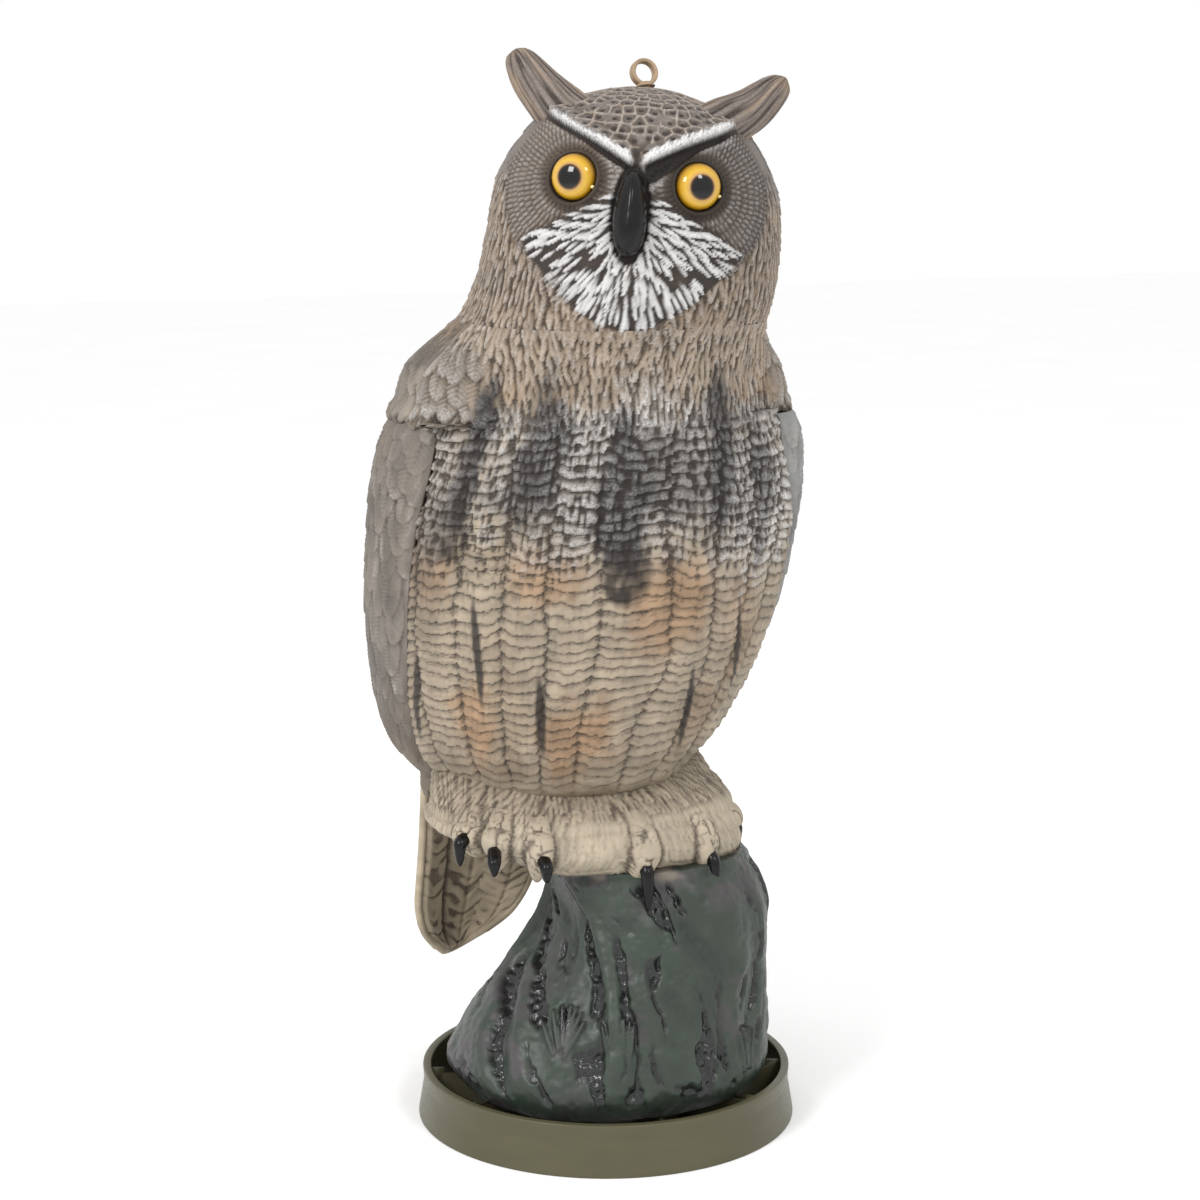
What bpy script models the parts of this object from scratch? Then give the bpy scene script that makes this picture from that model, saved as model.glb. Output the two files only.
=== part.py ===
"""Great horned owl decoy: a hollow owl with two wings that flap on shoulder pivots, perched on a hollow
stump that lifts off a round ribbed base.

World frame: +Z up, the owl's breast faces -Y, the origin is the centre of the base's underside. Metres.
"""

from math import cos, pi, radians, sin

import bmesh
import bpy
import numpy as np
from mathutils import Matrix, Vector

# ---------------------------------------------------------------- driving dimensions
WALL = 0.0026  # moulded wall of every shell
GAP = 0.0003  # between pieces that touch
BASE_RADIUS = 0.100  # top of the base's rim
BASE_FLARE = 0.0025  # how much wider the rim is at the floor
BASE_HEIGHT = 0.0275
BASE_RIBS = 10
HUB_RADIUS = 0.044  # inside of the base's socket
STUMP_BOTTOM = 0.0223
STUMP_TOP = 0.1465
HEAD_CENTRE = Vector((0.0035, -0.031, 0.487))
HEAD_YAW = radians(-24)  # the head looks over the owl's right shoulder
HEAD_ROLL = radians(4.4)
HEAD_SEAM = 0.4320  # where the head's rim sits on the torso
EYE_RADIUS = 0.0118
EYE_PLACE = (0.0310, 0.0177)  # sideways and up from the head's centre
SPLIT = radians(70)  # the line between breast and back shells, from the front
SHELF = 0.3868  # underside of the shoulders, which overhang the wings
SHOULDER = 0.0140  # how far the shoulders overhang
WING_AXIS = (0.0100, 0.3795)  # out from the torso's flank, and height
WING_AXIS_Y = (-0.0180, 0.0120)  # from the front ear to the rear ear of the bracket
WING_MARGIN = 0.0095  # the wing's outer skin stands this far off the torso
WING_THICK = 0.0028
WING_HUG = 0.0056  # how far its edges stand off the torso
SUPER = 2.25  # superellipse exponent of the body's sections

# Sections of the body skin from the belly to the neck: height, middle x, middle y, half width,
# half depth in front, half depth behind.
TORSO = [
    (0.1765, -0.016, 0.042, 0.044, 0.046, 0.046),
    (0.186, -0.015, 0.042, 0.061, 0.066, 0.060),
    (0.200, -0.014, 0.040, 0.076, 0.080, 0.072),
    (0.225, -0.013, 0.034, 0.088, 0.088, 0.080),
    (0.260, -0.012, 0.022, 0.097, 0.091, 0.086),
    (0.300, -0.011, 0.011, 0.1025, 0.089, 0.088),
    (0.340, -0.0095, 0.003, 0.1020, 0.085, 0.086),
    (0.370, -0.0090, -0.002, 0.0950, 0.081, 0.082),
    (0.395, -0.0090, -0.007, 0.0870, 0.077, 0.077),
    (0.412, -0.0105, -0.013, 0.0830, 0.072, 0.073),
    (0.425, -0.010, -0.020, 0.0800, 0.069, 0.071),
    (0.437, -0.006, -0.026, 0.0775, 0.0675, 0.0690),
    (0.460, -0.001, -0.030, 0.0745, 0.0655, 0.0670),
]
# Sections of the head, about its own centre, in the same columns without the middle x.
HEAD = [
    (-0.050, 0.000, 0.0740, 0.0650, 0.0660),
    (-0.030, 0.000, 0.0740, 0.0650, 0.0650),
    (-0.005, 0.000, 0.0730, 0.0640, 0.0640),
    (0.015, 0.000, 0.0700, 0.0625, 0.0615),
    (0.032, 0.001, 0.0620, 0.0580, 0.0560),
    (0.046, 0.002, 0.0500, 0.0480, 0.0460),
    (0.056, 0.003, 0.0340, 0.0340, 0.0330),
    (0.061, 0.003, 0.0170, 0.0170, 0.0170),
]
HEAD_TOP = 0.0625
# Sections of the stump, in the body's columns.
STUMP = [
    (0.0223, 0.000, 0.000, 0.0800, 0.0780, 0.0780),
    (0.030, 0.000, 0.000, 0.0850, 0.0820, 0.0820),
    (0.050, 0.003, -0.001, 0.0820, 0.0790, 0.0780),
    (0.075, 0.012, -0.004, 0.0720, 0.0700, 0.0680),
    (0.100, 0.022, -0.007, 0.0630, 0.0610, 0.0570),
    (0.122, 0.026, -0.008, 0.0590, 0.0560, 0.0520),
    (0.1465, 0.018, -0.006, 0.0560, 0.0480, 0.0460),
]
# Sections of the feathered feet, in the body's columns.
FEET = [
    (0.1468, -0.007, 0.004, 0.0730, 0.0520, 0.0460),
    (0.154, -0.013, 0.003, 0.0810, 0.0580, 0.0500),
    (0.163, -0.016, 0.004, 0.0830, 0.0600, 0.0510),
    (0.171, -0.015, 0.008, 0.0775, 0.0570, 0.0500),
    (0.1757, -0.012, 0.013, 0.0600, 0.0480, 0.0440),
]
# Each toe: where it starts on top of the foot and where its pad ends, x, y and z.
TOES = [
    ("right_outer", (-0.080, -0.020, 0.174), (-0.098, -0.036, 0.168)),
    ("right_middle", (-0.074, -0.030, 0.172), (-0.084, -0.055, 0.161)),
    ("right_inner", (-0.054, -0.034, 0.172), (-0.057, -0.063, 0.158)),
    ("left_inner", (-0.001, -0.034, 0.172), (0.000, -0.063, 0.156)),
    ("left_middle", (0.036, -0.028, 0.172), (0.042, -0.056, 0.157)),
    ("left_outer", (0.050, -0.011, 0.174), (0.0705, -0.026, 0.166)),
]
TOE_RADIUS = 0.0110

COLOURS = {
    "feather_tan": ((0.40, 0.32, 0.23), 0.62, 0.0),
    "feather_grey": ((0.27, 0.23, 0.20), 0.62, 0.0),
    "stump_green": ((0.060, 0.080, 0.058), 0.55, 0.0),
    "base_olive": ((0.105, 0.098, 0.060), 0.42, 0.0),
    "gloss_black": ((0.008, 0.007, 0.007), 0.20, 0.0),
    "eye_amber": ((0.62, 0.33, 0.02), 0.25, 0.0),
    "eye_clear": ((0.90, 0.90, 0.90), 0.05, 0.0),
    "natural_nylon": ((0.55, 0.53, 0.46), 0.50, 0.0),
    "zinc_steel": ((0.55, 0.55, 0.56), 0.35, 1.0),
}


# ---------------------------------------------------------------- helpers
def material(name):
    """The Principled material of that name, made once."""
    found = bpy.data.materials.get(name)
    if found:
        return found
    colour, roughness, metallic = COLOURS[name]
    made = bpy.data.materials.new(name)
    made.use_nodes = True
    shader = made.node_tree.nodes["Principled BSDF"]
    shader.inputs["Base Color"].default_value = (*colour, 1.0)
    shader.inputs["Roughness"].default_value = roughness
    shader.inputs["Metallic"].default_value = metallic
    return made


def placed(name, bm, look, matrix=None):
    """Turns a bmesh into a named object with a material, and frees the bmesh."""
    bmesh.ops.recalc_face_normals(bm, faces=bm.faces)
    mesh = bpy.data.meshes.new(name)
    bm.to_mesh(mesh)
    bm.free()
    mesh.shade_smooth()
    mesh.set_sharp_from_angle(angle=radians(40))
    mesh.materials.append(material(look))
    obj = bpy.data.objects.new(name, mesh)
    bpy.context.scene.collection.objects.link(obj)
    if matrix is not None:
        obj.matrix_world = matrix
    return obj


def helper(obj):
    """A cutter or an operand that isn't a piece of the object."""
    obj.hide_render = True
    obj.display_type = "WIRE"
    return obj


def combine(obj, other, operation):
    """Joins other to obj, or cuts it away, with an exact Boolean."""
    modifier = obj.modifiers.new(f"{operation.lower()}_{other.name}", "BOOLEAN")
    modifier.object = helper(other)
    modifier.operation = operation
    modifier.solver = "EXACT"
    return obj


def turned(profile, steps=24):
    """A solid of revolution about Z, from (radius, height) corners in order round its section."""
    bm = bmesh.new()
    corners = [bm.verts.new((r, 0, z)) for r, z in profile]
    edges = [bm.edges.new(pair) for pair in zip(corners, corners[1:] + corners[:1])]
    bmesh.ops.spin(
        bm, geom=corners + edges, cent=(0, 0, 0), axis=(0, 0, 1), angle=2 * pi, steps=steps, use_merge=True
    )
    bmesh.ops.remove_doubles(bm, verts=bm.verts, dist=1e-6)
    flat = [f for f in bm.faces if f.calc_area() < 1e-12]
    bmesh.ops.delete(bm, geom=flat, context="FACES_ONLY")
    loose = [e for e in bm.edges if not e.link_faces]
    bmesh.ops.delete(bm, geom=loose, context="EDGES")
    bmesh.ops.rotate(bm, verts=bm.verts, matrix=Matrix.Rotation(0.113, 3, "Z"))
    return bm


def box(size, centre):
    """An upright block."""
    bm = bmesh.new()
    shape = Matrix.Translation(centre) @ Matrix.Diagonal((*size, 1))
    bmesh.ops.create_cube(bm, size=1, matrix=shape)
    return bm


def aimed(place, direction, up=(0, 0, 1)):
    """A frame at place whose Z points along direction."""
    z = Vector(direction).normalized()
    x = Vector(up).cross(z).normalized()
    rotation = Matrix((x, z.cross(x), z)).transposed().to_4x4()
    return Matrix.Translation(place) @ rotation


def section_at(sections, height):
    """The columns after the height, on a smooth curve through the sections."""
    table = np.array(sections)
    heights, columns = table[:, 0], table[:, 1:]
    slopes = np.gradient(columns, heights, axis=0)
    i = int(np.clip(np.searchsorted(heights, height) - 1, 0, len(heights) - 2))
    step = heights[i + 1] - heights[i]
    t = (height - heights[i]) / step
    return (
        (1 + 2 * t) * (1 - t) ** 2 * columns[i]
        + t * (1 - t) ** 2 * step * slopes[i]
        + t * t * (3 - 2 * t) * columns[i + 1]
        + t * t * (t - 1) * step * slopes[i + 1]
    )


def oval(middle_x, middle_y, half_width, front, back, angle, grow=0.0):
    """x and y on a superelliptic section. Angle 0 is the front (-Y) and 90 degrees is +X."""
    s, c = sin(angle), cos(angle)
    depth = front if c > 0 else back
    x = abs(s) ** (2 / SUPER) * (half_width + grow) * (1 if s > 0 else -1)
    y = abs(c) ** (2 / SUPER) * (depth + grow) * (1 if c > 0 else -1)
    return middle_x + x, middle_y - y


def even_angles(start, end, count):
    return [start + (end - start) * i / (count - 1) for i in range(count)]


def smooth(value, start, end):
    """0 before start and 1 past end, with an easy curve between."""
    t = min(1.0, max(0.0, (value - start) / (end - start)))
    return t * t * (3 - 2 * t)


def skin(sections, heights, angles, grow=0.0):
    """Rows of points on a skin through the sections, one row for each height."""
    rows = []
    for z in heights:
        columns = section_at(sections, z)
        rows.append([Vector((*oval(*columns, angle, grow), z)) for angle in angles])
    return rows


def sheet_bmesh(outer, inner, wrap=False, outer_pole=None, inner_pole=None):
    """A closed wall between two rows-by-columns skins. Wrap joins the last column to the first, and the
    poles close the last row, each skin at its own point."""
    bm = bmesh.new()
    skins = [[[bm.verts.new(p) for p in row] for row in rows] for rows in (outer, inner)]
    columns = len(outer[0])
    span = columns if wrap else columns - 1
    for rows in skins:
        for low, high in zip(rows, rows[1:]):
            for i in range(span):
                j = (i + 1) % columns
                bm.faces.new((low[i], low[j], high[j], high[i]))
    ends = [0] if outer_pole is not None else [0, -1]
    for end in ends:
        for i in range(span):
            j = (i + 1) % columns
            bm.faces.new((skins[0][end][i], skins[0][end][j], skins[1][end][j], skins[1][end][i]))
    if outer_pole is not None:
        for rows, pole in zip(skins, (outer_pole, inner_pole)):
            tip = bm.verts.new(pole)
            for i in range(span):
                bm.faces.new((rows[-1][i], rows[-1][(i + 1) % columns], tip))
    if not wrap:
        for side in (0, -1):
            for k in range(len(outer) - 1):
                bm.faces.new(
                    (skins[0][k][side], skins[0][k + 1][side], skins[1][k + 1][side], skins[1][k][side])
                )
    return bm


def spaced(low, high, count):
    return list(np.linspace(low, high, count))


def tapered(points, radii, sides=10, flatten=1.0):
    """A closed tube through points, with a radius at each, squashed along its second axis by flatten."""
    bm = bmesh.new()
    rings = []
    for i, (point, radius) in enumerate(zip(points, radii)):
        ahead = Vector(points[min(i + 1, len(points) - 1)]) - Vector(points[max(i - 1, 0)])
        frame = aimed(point, ahead, up=(0, 1, 0.01))
        ring = [
            bm.verts.new(frame @ Vector((radius * cos(a), radius * flatten * sin(a), 0)))
            for a in even_angles(0, 2 * pi * (1 - 1 / sides), sides)
        ]
        rings.append(ring)
    for low, high in zip(rings, rings[1:]):
        for i in range(sides):
            bm.faces.new((low[i], low[(i + 1) % sides], high[(i + 1) % sides], high[i]))
    bm.faces.new(rings[0])
    bm.faces.new(rings[-1])
    return bm


def screw_bmesh(shank, length, head, head_height, steps=10):
    """A pan-head screw along +Z: its shank runs down from the seat at z 0, its head stands above."""
    return turned(
        [(0, -length), (shank * 0.5, -length), (shank, -length * 0.85), (shank, 0), (head, 0),
         (head, head_height * 0.5), (head * 0.7, head_height), (0, head_height)],
        steps,
    )


# ---------------------------------------------------------------- base and stump
RIB_STEPS = ((0.0455, 0.0590, 0.0183), (0.0575, 0.0885, 0.0219), (0.0870, 0.0980, 0.0245))
COLLAR_FLANGE = 0.057
FILL_RADIUS = 0.020


def build_base():
    """The olive base: a flared rim, a floor disc, a socket and stepped radial ribs, moulded in one."""
    wall = 0.0030
    low, top = BASE_RADIUS + BASE_FLARE, BASE_RADIUS
    rim = turned(
        [(low, 0), (low - 0.0004, 0.003), (top - 0.0006, 0.019), (top, BASE_HEIGHT - 0.0012),
         (top - 0.0010, BASE_HEIGHT), (top - wall - 0.0012, BASE_HEIGHT),
         (top - wall - 0.0020, BASE_HEIGHT - 0.0015), (low - wall - 0.0016, 0)],
        48,
    )
    base = placed("base_ring", rim, "base_olive")
    hub_wall = 0.003
    hub = turned(
        [(0, 0), (HUB_RADIUS + hub_wall, 0), (HUB_RADIUS + hub_wall, 0.0183), (HUB_RADIUS, 0.0183),
         (HUB_RADIUS, 0.0028), (0, 0.0028)],
        40,
    )
    combine(base, placed("base_hub", hub, "base_olive"), "UNION")
    for k in range(BASE_RIBS):
        turn = Matrix.Rotation(2 * pi * (k + 0.5) / BASE_RIBS, 4, "Z")
        bm = bmesh.new()
        outline = [(RIB_STEPS[0][0], 0.0)]
        for start, end, height in RIB_STEPS:
            outline += [(max(start, outline[-1][0]), height), (end, height)]
        outline.append((RIB_STEPS[-1][1], 0.0))
        face = bm.faces.new([bm.verts.new((r, -0.0011, z)) for r, z in outline])
        out = bmesh.ops.extrude_face_region(bm, geom=[face])
        moved = [v for v in out["geom"] if isinstance(v, bmesh.types.BMVert)]
        bmesh.ops.translate(bm, verts=moved, vec=(0, 0.0022, 0))
        combine(base, placed(f"base_rib_{k}", bm, "base_olive", turn), "UNION")


def build_stump():
    """The hollow stump, with a round hole in its floor for the socket collar and a flat top."""
    angles = even_angles(0, 2 * pi * 29 / 30, 30)
    heights = [STUMP_BOTTOM, 0.030, 0.046, 0.062, 0.080, 0.100, 0.122, STUMP_TOP]
    outer = skin(STUMP, heights, angles)
    inside = [STUMP_BOTTOM + WALL, *heights[1:-1], STUMP_TOP - WALL]
    inner = skin(STUMP, inside, angles, -WALL)
    hole = HUB_RADIUS + 0.0002
    ring = [[Vector((hole * sin(a), -hole * cos(a), z)) for a in angles] for z in (STUMP_BOTTOM, inside[0])]
    top = outer[-1][0].lerp(outer[-1][15], 0.5)
    bm = sheet_bmesh(
        [ring[0], *outer], [ring[1], *inner], True, (top.x, top.y, STUMP_TOP), (top.x, top.y, inside[-1])
    )
    stump = placed("stump_shell", bm, "stump_green")
    for x, y in PERCH_SCREWS:
        drill = turned([(0, -0.01), (0.0021, -0.01), (0.0021, 0.01), (0, 0.01)], 10)
        drill_at = Matrix.Translation((x, y, STUMP_TOP))
        combine(stump, placed(f"perch_drill_{x:.3f}", drill, "zinc_steel", drill_at), "DIFFERENCE")
    for k, place in enumerate(collar_screws()):
        post = turned([(0, 0.0012), (0.0045, 0.0012), (0.0045, 0.0105), (0, 0.0105)], 12)
        post_at = Matrix.Translation((*place, STUMP_BOTTOM))
        combine(stump, placed(f"collar_post_{k}", post, "stump_green", post_at), "UNION")
        bore = turned([(0, -0.002), (0.0018, -0.002), (0.0018, 0.0090), (0, 0.0090)], 10)
        combine(stump, placed(f"collar_bore_{k}", bore, "stump_green", post_at), "DIFFERENCE")


def collar_screws():
    """x and y of the three screws of the socket collar, each midway between two ribs of the base."""
    step = 2 * pi / BASE_RIBS
    return [(0.0515 * cos(k * step), 0.0515 * sin(k * step)) for k in (0, 3, 7)]


def build_collar():
    """The socket collar under the stump, its three screws and the plug of the sand-fill hole."""
    under, top = STUMP_BOTTOM - GAP, STUMP_BOTTOM - GAP - 0.0032
    plug_out, plug_in = HUB_RADIUS - 0.0005, HUB_RADIUS - 0.0035
    collar = turned(
        [(plug_in, 0.0065), (plug_out - 0.001, 0.0065), (plug_out, 0.0080), (plug_out, top),
         (COLLAR_FLANGE, top), (COLLAR_FLANGE, under), (plug_out - 0.0002, under),
         (plug_out - 0.0002, 0.030), (plug_in, 0.030), (plug_in, under + 0.0006),
         (FILL_RADIUS, under + 0.0006), (FILL_RADIUS, top - 0.0006), (plug_in, top - 0.0006)],
        40,
    )
    collar = placed("socket_collar", collar, "natural_nylon")
    for k, place in enumerate(collar_screws()):
        drill = turned([(0, -0.01), (0.0020, -0.01), (0.0020, 0.01), (0, 0.01)], 10)
        drill_at = Matrix.Translation((*place, top))
        combine(collar, placed(f"collar_drill_{k}", drill, "zinc_steel", drill_at), "DIFFERENCE")
        screw_at = Matrix.Translation((*place, top - GAP)) @ Matrix.Rotation(pi, 4, "X")
        placed(f"collar_screw_{k}", screw_bmesh(0.0014, 0.0110, 0.0034, 0.0020), "zinc_steel", screw_at)
    lip = FILL_RADIUS + 0.004
    seat = top - 0.0006 - GAP
    stem = FILL_RADIUS - GAP
    plug = turned(
        [(0, seat - 0.0025), (lip, seat - 0.0025), (lip, seat), (stem, seat), (stem, under + 0.003),
         (stem - 0.002, under + 0.004), (stem - 0.0035, under + 0.004), (stem - 0.0035, seat + 0.0005),
         (0, seat + 0.0005)],
        24,
    )
    placed("fill_plug", plug, "gloss_black")


# ---------------------------------------------------------------- feet and talons
PERCH_SCREWS = ((-0.018, 0.004), (0.040, 0.000))


def build_feet():
    """The feathered feet: one hollow moulding with six toe pads, open underneath, on the stump's top."""
    angles = even_angles(0, 2 * pi * 27 / 28, 28)
    heights = [FEET[0][0], 0.151, 0.156, 0.162, 0.168, 0.172, FEET[-1][0]]
    outer = skin(FEET, heights, angles)
    inner = skin(FEET, [*heights[:-1], FEET[-1][0] - WALL], angles, -WALL)
    middle = (FEET[-1][1], FEET[-1][2])
    bm = sheet_bmesh(outer, inner, True, (*middle, FEET[-1][0] + 0.0005), (*middle, FEET[-1][0] - WALL))
    feet = placed("feet_shell", bm, "feather_tan")
    for name, start, end in TOES:
        start, end = Vector(start), Vector(end)
        along = [start.lerp(end, t) for t in (0.0, 0.35, 0.75, 1.0)]
        sizes = [TOE_RADIUS * k for k in (0.85, 1.0, 1.0, 0.66)]
        combine(feet, placed(f"toe_{name}", tapered(along, sizes), "feather_tan"), "UNION")
    for x, y in PERCH_SCREWS:
        post = [(0, 0), (0.0055, 0), (0.0055, 0.0270), (0, 0.0270)]
        at = Matrix.Translation((x, y, FEET[0][0]))
        combine(feet, placed(f"perch_post_{x:.3f}", turned(post, 12), "feather_tan", at), "UNION")
        bore = [(0, -0.004), (0.0019, -0.004), (0.0019, 0.016), (0, 0.016)]
        combine(feet, placed(f"perch_bore_{x:.3f}", turned(bore, 10), "feather_tan", at), "DIFFERENCE")
        screw_at = Matrix.Translation((x, y, STUMP_TOP - WALL - GAP)) @ Matrix.Rotation(pi, 4, "X")
        side = "right" if x < 0 else "left"
        placed(f"perch_screw_{side}", screw_bmesh(0.0016, 0.016, 0.0036, 0.0022), "zinc_steel", screw_at)


def build_talons():
    """A curved black claw at the end of each toe, hooked over the stump's edge."""
    for name, start, end in TOES:
        start, end = Vector(start), Vector(end)
        out = Vector((end.x - start.x, end.y - start.y, 0)).normalized()
        ahead = (end - start).normalized()
        points = [end + ahead * 0.0006, end + ahead * 0.0040]
        for reach, drop in ((0.0034, 0.0048), (0.0012, 0.0056), (-0.0012, 0.0050)):
            points.append(points[-1] + out * reach + Vector((0, 0, -drop)))
        radii = [0.0040, 0.0037, 0.0028, 0.0016, 0.0005]
        placed(f"talon_{name}", tapered(points, radii, 8), "gloss_black")


# Places along the middle of each ear tuft, in the head's frame, and how thick it is there.
TUFTS = {
    "right": [
        (-0.0300, -0.0200, 0.0420), (-0.0430, -0.0145, 0.0500), (-0.0550, -0.0085, 0.0615),
        (-0.0630, -0.0045, 0.0710), (-0.0665, -0.0030, 0.0765),
    ],
    "left": [
        (0.0280, -0.0210, 0.0410), (0.0405, -0.0155, 0.0480), (0.0535, -0.0095, 0.0560),
        (0.0640, -0.0050, 0.0665), (0.0695, -0.0030, 0.0728),
    ],
}
TUFT_RADII = [0.0125, 0.0135, 0.0110, 0.0080, 0.0040]

# ---------------------------------------------------------------- torso and tail
TORSO_LOW, TORSO_HIGH = 0.1765, HEAD_SEAM - GAP


def shoulder(angle, height):
    """How far the overhanging shoulder stands out of the torso's plain section."""
    along = abs((angle + pi) % (2 * pi) - pi)
    window = smooth(along, radians(45), radians(85)) * smooth(along, radians(168), radians(140))
    rise = min(1.0, max(0.0, (height - SHELF) / 0.0008))
    return SHOULDER * window * rise * smooth(height, 0.4380, 0.4020)


def torso_rows(angles, heights, inside=False):
    """Rows of points on the torso's skin, or on the inside of its wall."""
    rows = []
    for z in heights:
        columns = section_at(TORSO, z)
        lift = WALL + 0.0002 if inside else 0.0
        wall = WALL if inside else 0.0
        row = [Vector((*oval(*columns, angle, shoulder(angle, z - lift) - wall), z)) for angle in angles]
        rows.append(row)
    return rows


def build_torso():
    """The breast and back shells, which meet on a line down each flank under the wing's front edge."""
    shelf = [SHELF, SHELF + 0.0008, SHELF + WALL + 0.0002, SHELF + WALL + 0.0010]
    heights = spaced(TORSO_LOW, SHELF - 0.008, 9) + shelf + spaced(SHELF + 0.011, TORSO_HIGH, 4)
    apart = GAP / 2 / 0.09
    for name, start, end, count in (
        ("breast_shell", -SPLIT + apart, SPLIT - apart, 13),
        ("back_shell", SPLIT + apart, 2 * pi - SPLIT - apart, 19),
    ):
        angles = even_angles(start, end, count)
        bm = sheet_bmesh(torso_rows(angles, heights), torso_rows(angles, heights, True))
        shell = placed(name, bm, "feather_tan")
        if name == "back_shell":
            for side in (-1, 1):
                add_wing_boss(shell, side)


def add_wing_boss(shell, side):
    """A block inside the shoulder that the wing's bracket is screwed up into."""
    name = "left" if side > 0 else "right"
    flank = wing_axis(side)[0] - side * WING_AXIS[0]
    size = (0.0105, 0.0275, 0.0095)
    centre = (flank + side * 0.0024, sum(WING_AXIS_Y) / 2, SHELF + 0.0005 + size[2] / 2)
    combine(shell, placed(f"boss_{name}", box(size, centre), "feather_tan"), "UNION")
    for place, y in bracket_screws():
        hole = turned([(0, -0.004), (0.0016, -0.004), (0.0016, 0.0080), (0, 0.0080)], 10)
        at = Matrix.Translation((flank + side * SCREW_OUT, y, SHELF))
        combine(shell, placed(f"boss_hole_{name}_{place}", hole, "feather_tan", at), "DIFFERENCE")


def build_tail():
    """The tail: a scooped tongue that hangs behind the perch."""
    root, tip = Vector((-0.018, 0.1200, 0.214)), Vector((-0.042, 0.136, 0.052))
    rows_out, rows_in = [], []
    for t in spaced(0, 1, 9):
        middle = root.lerp(tip, t) + Vector((0, -0.006 * sin(pi * t), 0))
        half = (0.040 - 0.010 * t) * (1 - max(0.0, (t - 0.75) / 0.25) ** 2 * 0.42)
        outer, inner = [], []
        for u in spaced(-1, 1, 9):
            scoop = (0.0075 + 0.0080 * t) * u * u
            lift = 0.010 * u * u * max(0.0, (t - 0.5) / 0.5)
            place = middle + Vector((half * u, -scoop, lift))
            outer.append(place + Vector((0, 0.0030, 0)))
            inner.append(place + Vector((0, -0.0030, 0)))
        rows_out.append(outer)
        rows_in.append(inner)
    placed("tail", sheet_bmesh(rows_out, rows_in), "feather_tan")


# ---------------------------------------------------------------- head
def head_frame():
    turn = Matrix.Rotation(HEAD_YAW, 4, "Z") @ Matrix.Rotation(HEAD_ROLL, 4, "Y")
    return Matrix.Translation(HEAD_CENTRE) @ turn


def eye_frame(side):
    """The frame of an eye: Z looks out of the socket, and the origin is where the eye's rim sits."""
    x, z = EYE_PLACE
    look = Vector((side * 0.36, -1.0, 0.05))
    return head_frame() @ aimed((side * x, -0.0575, z), look)


def build_head():
    """The head shell, open at the neck, with two ear tufts, eye sockets and a slot for the beak's peg."""
    angles = even_angles(0, 2 * pi * 27 / 28, 28)
    frame = head_frame()
    lap = WALL + 2.5 * GAP
    outer, inner = [], []
    for z, outside in ((HEAD_SEAM - 0.0070, lap), (HEAD_SEAM + GAP, lap), (HEAD_SEAM + GAP, 0.0)):
        columns = section_at(TORSO, z)
        outer.append([Vector((*oval(*columns, a + HEAD_YAW, -outside), z)) for a in angles])
        raised = z + 0.0012 if outside == 0.0 else z
        inner.append([Vector((*oval(*columns, a + HEAD_YAW, -lap - WALL), raised)) for a in angles])
    for height in spaced(-0.040, 0.040, 7) + [0.048, 0.055, 0.0605]:
        weight = smooth(height, -0.047, -0.007)
        neck = section_at(TORSO, min(0.460, HEAD_SEAM + 0.75 * (height + 0.047)))
        neck_z = HEAD_SEAM + 0.75 * (height + 0.047)
        lower = height - max(0.0, height - 0.030) * 0.08
        for rows, wall, h in ((outer, 0.0, height), (inner, WALL, lower)):
            columns = section_at(HEAD, h)
            row = []
            for a in angles:
                top = frame @ Vector((*oval(0.0, *columns, a, -wall), h))
                low = Vector((*oval(*neck, a + HEAD_YAW, -wall), neck_z))
                row.append(low.lerp(top, weight))
            rows.append(row)
    poles = [frame @ Vector((0, 0.003, HEAD_TOP - wall)) for wall in (0.0, WALL)]
    head = placed("head_shell", sheet_bmesh(outer, inner, True, *poles), "feather_grey")
    for side in (-1, 1):
        name = "left" if side > 0 else "right"
        tuft = tapered(TUFTS[name], TUFT_RADII, 10, 0.55)
        combine(head, placed(f"tuft_{name}", tuft, "feather_grey", head_frame()), "UNION")
        wide = EYE_RADIUS + 0.0022
        boss = turned(
            [(0, -0.0115), (wide, -0.0115), (wide, -0.0014), (wide - 0.0010, -0.0004), (0, -0.0004)], 20
        )
        combine(head, placed(f"socket_boss_{name}", boss, "feather_grey", eye_frame(side)), "UNION")
        seat = turned(
            [(0, -0.020), (0.0028, -0.020), (0.0028, -0.0055), (EYE_RADIUS + GAP, -0.0055),
             (EYE_RADIUS + GAP, 0.020), (0, 0.020)],
            24,
        )
        combine(head, placed(f"socket_{name}", seat, "feather_grey", eye_frame(side)), "DIFFERENCE")
    peg = turned([(0, -0.03), (0.0029, -0.03), (0.0029, 0.03), (0, 0.03)], 12)
    combine(head, placed("beak_hole", peg, "feather_grey", beak_frame()), "DIFFERENCE")
    stem = turned([(0, -0.02), (RING_STEM + GAP, -0.02), (RING_STEM + GAP, 0.03), (0, 0.03)], 12)
    combine(head, placed("ring_hole", stem, "feather_grey", ring_frame()), "DIFFERENCE")


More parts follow.
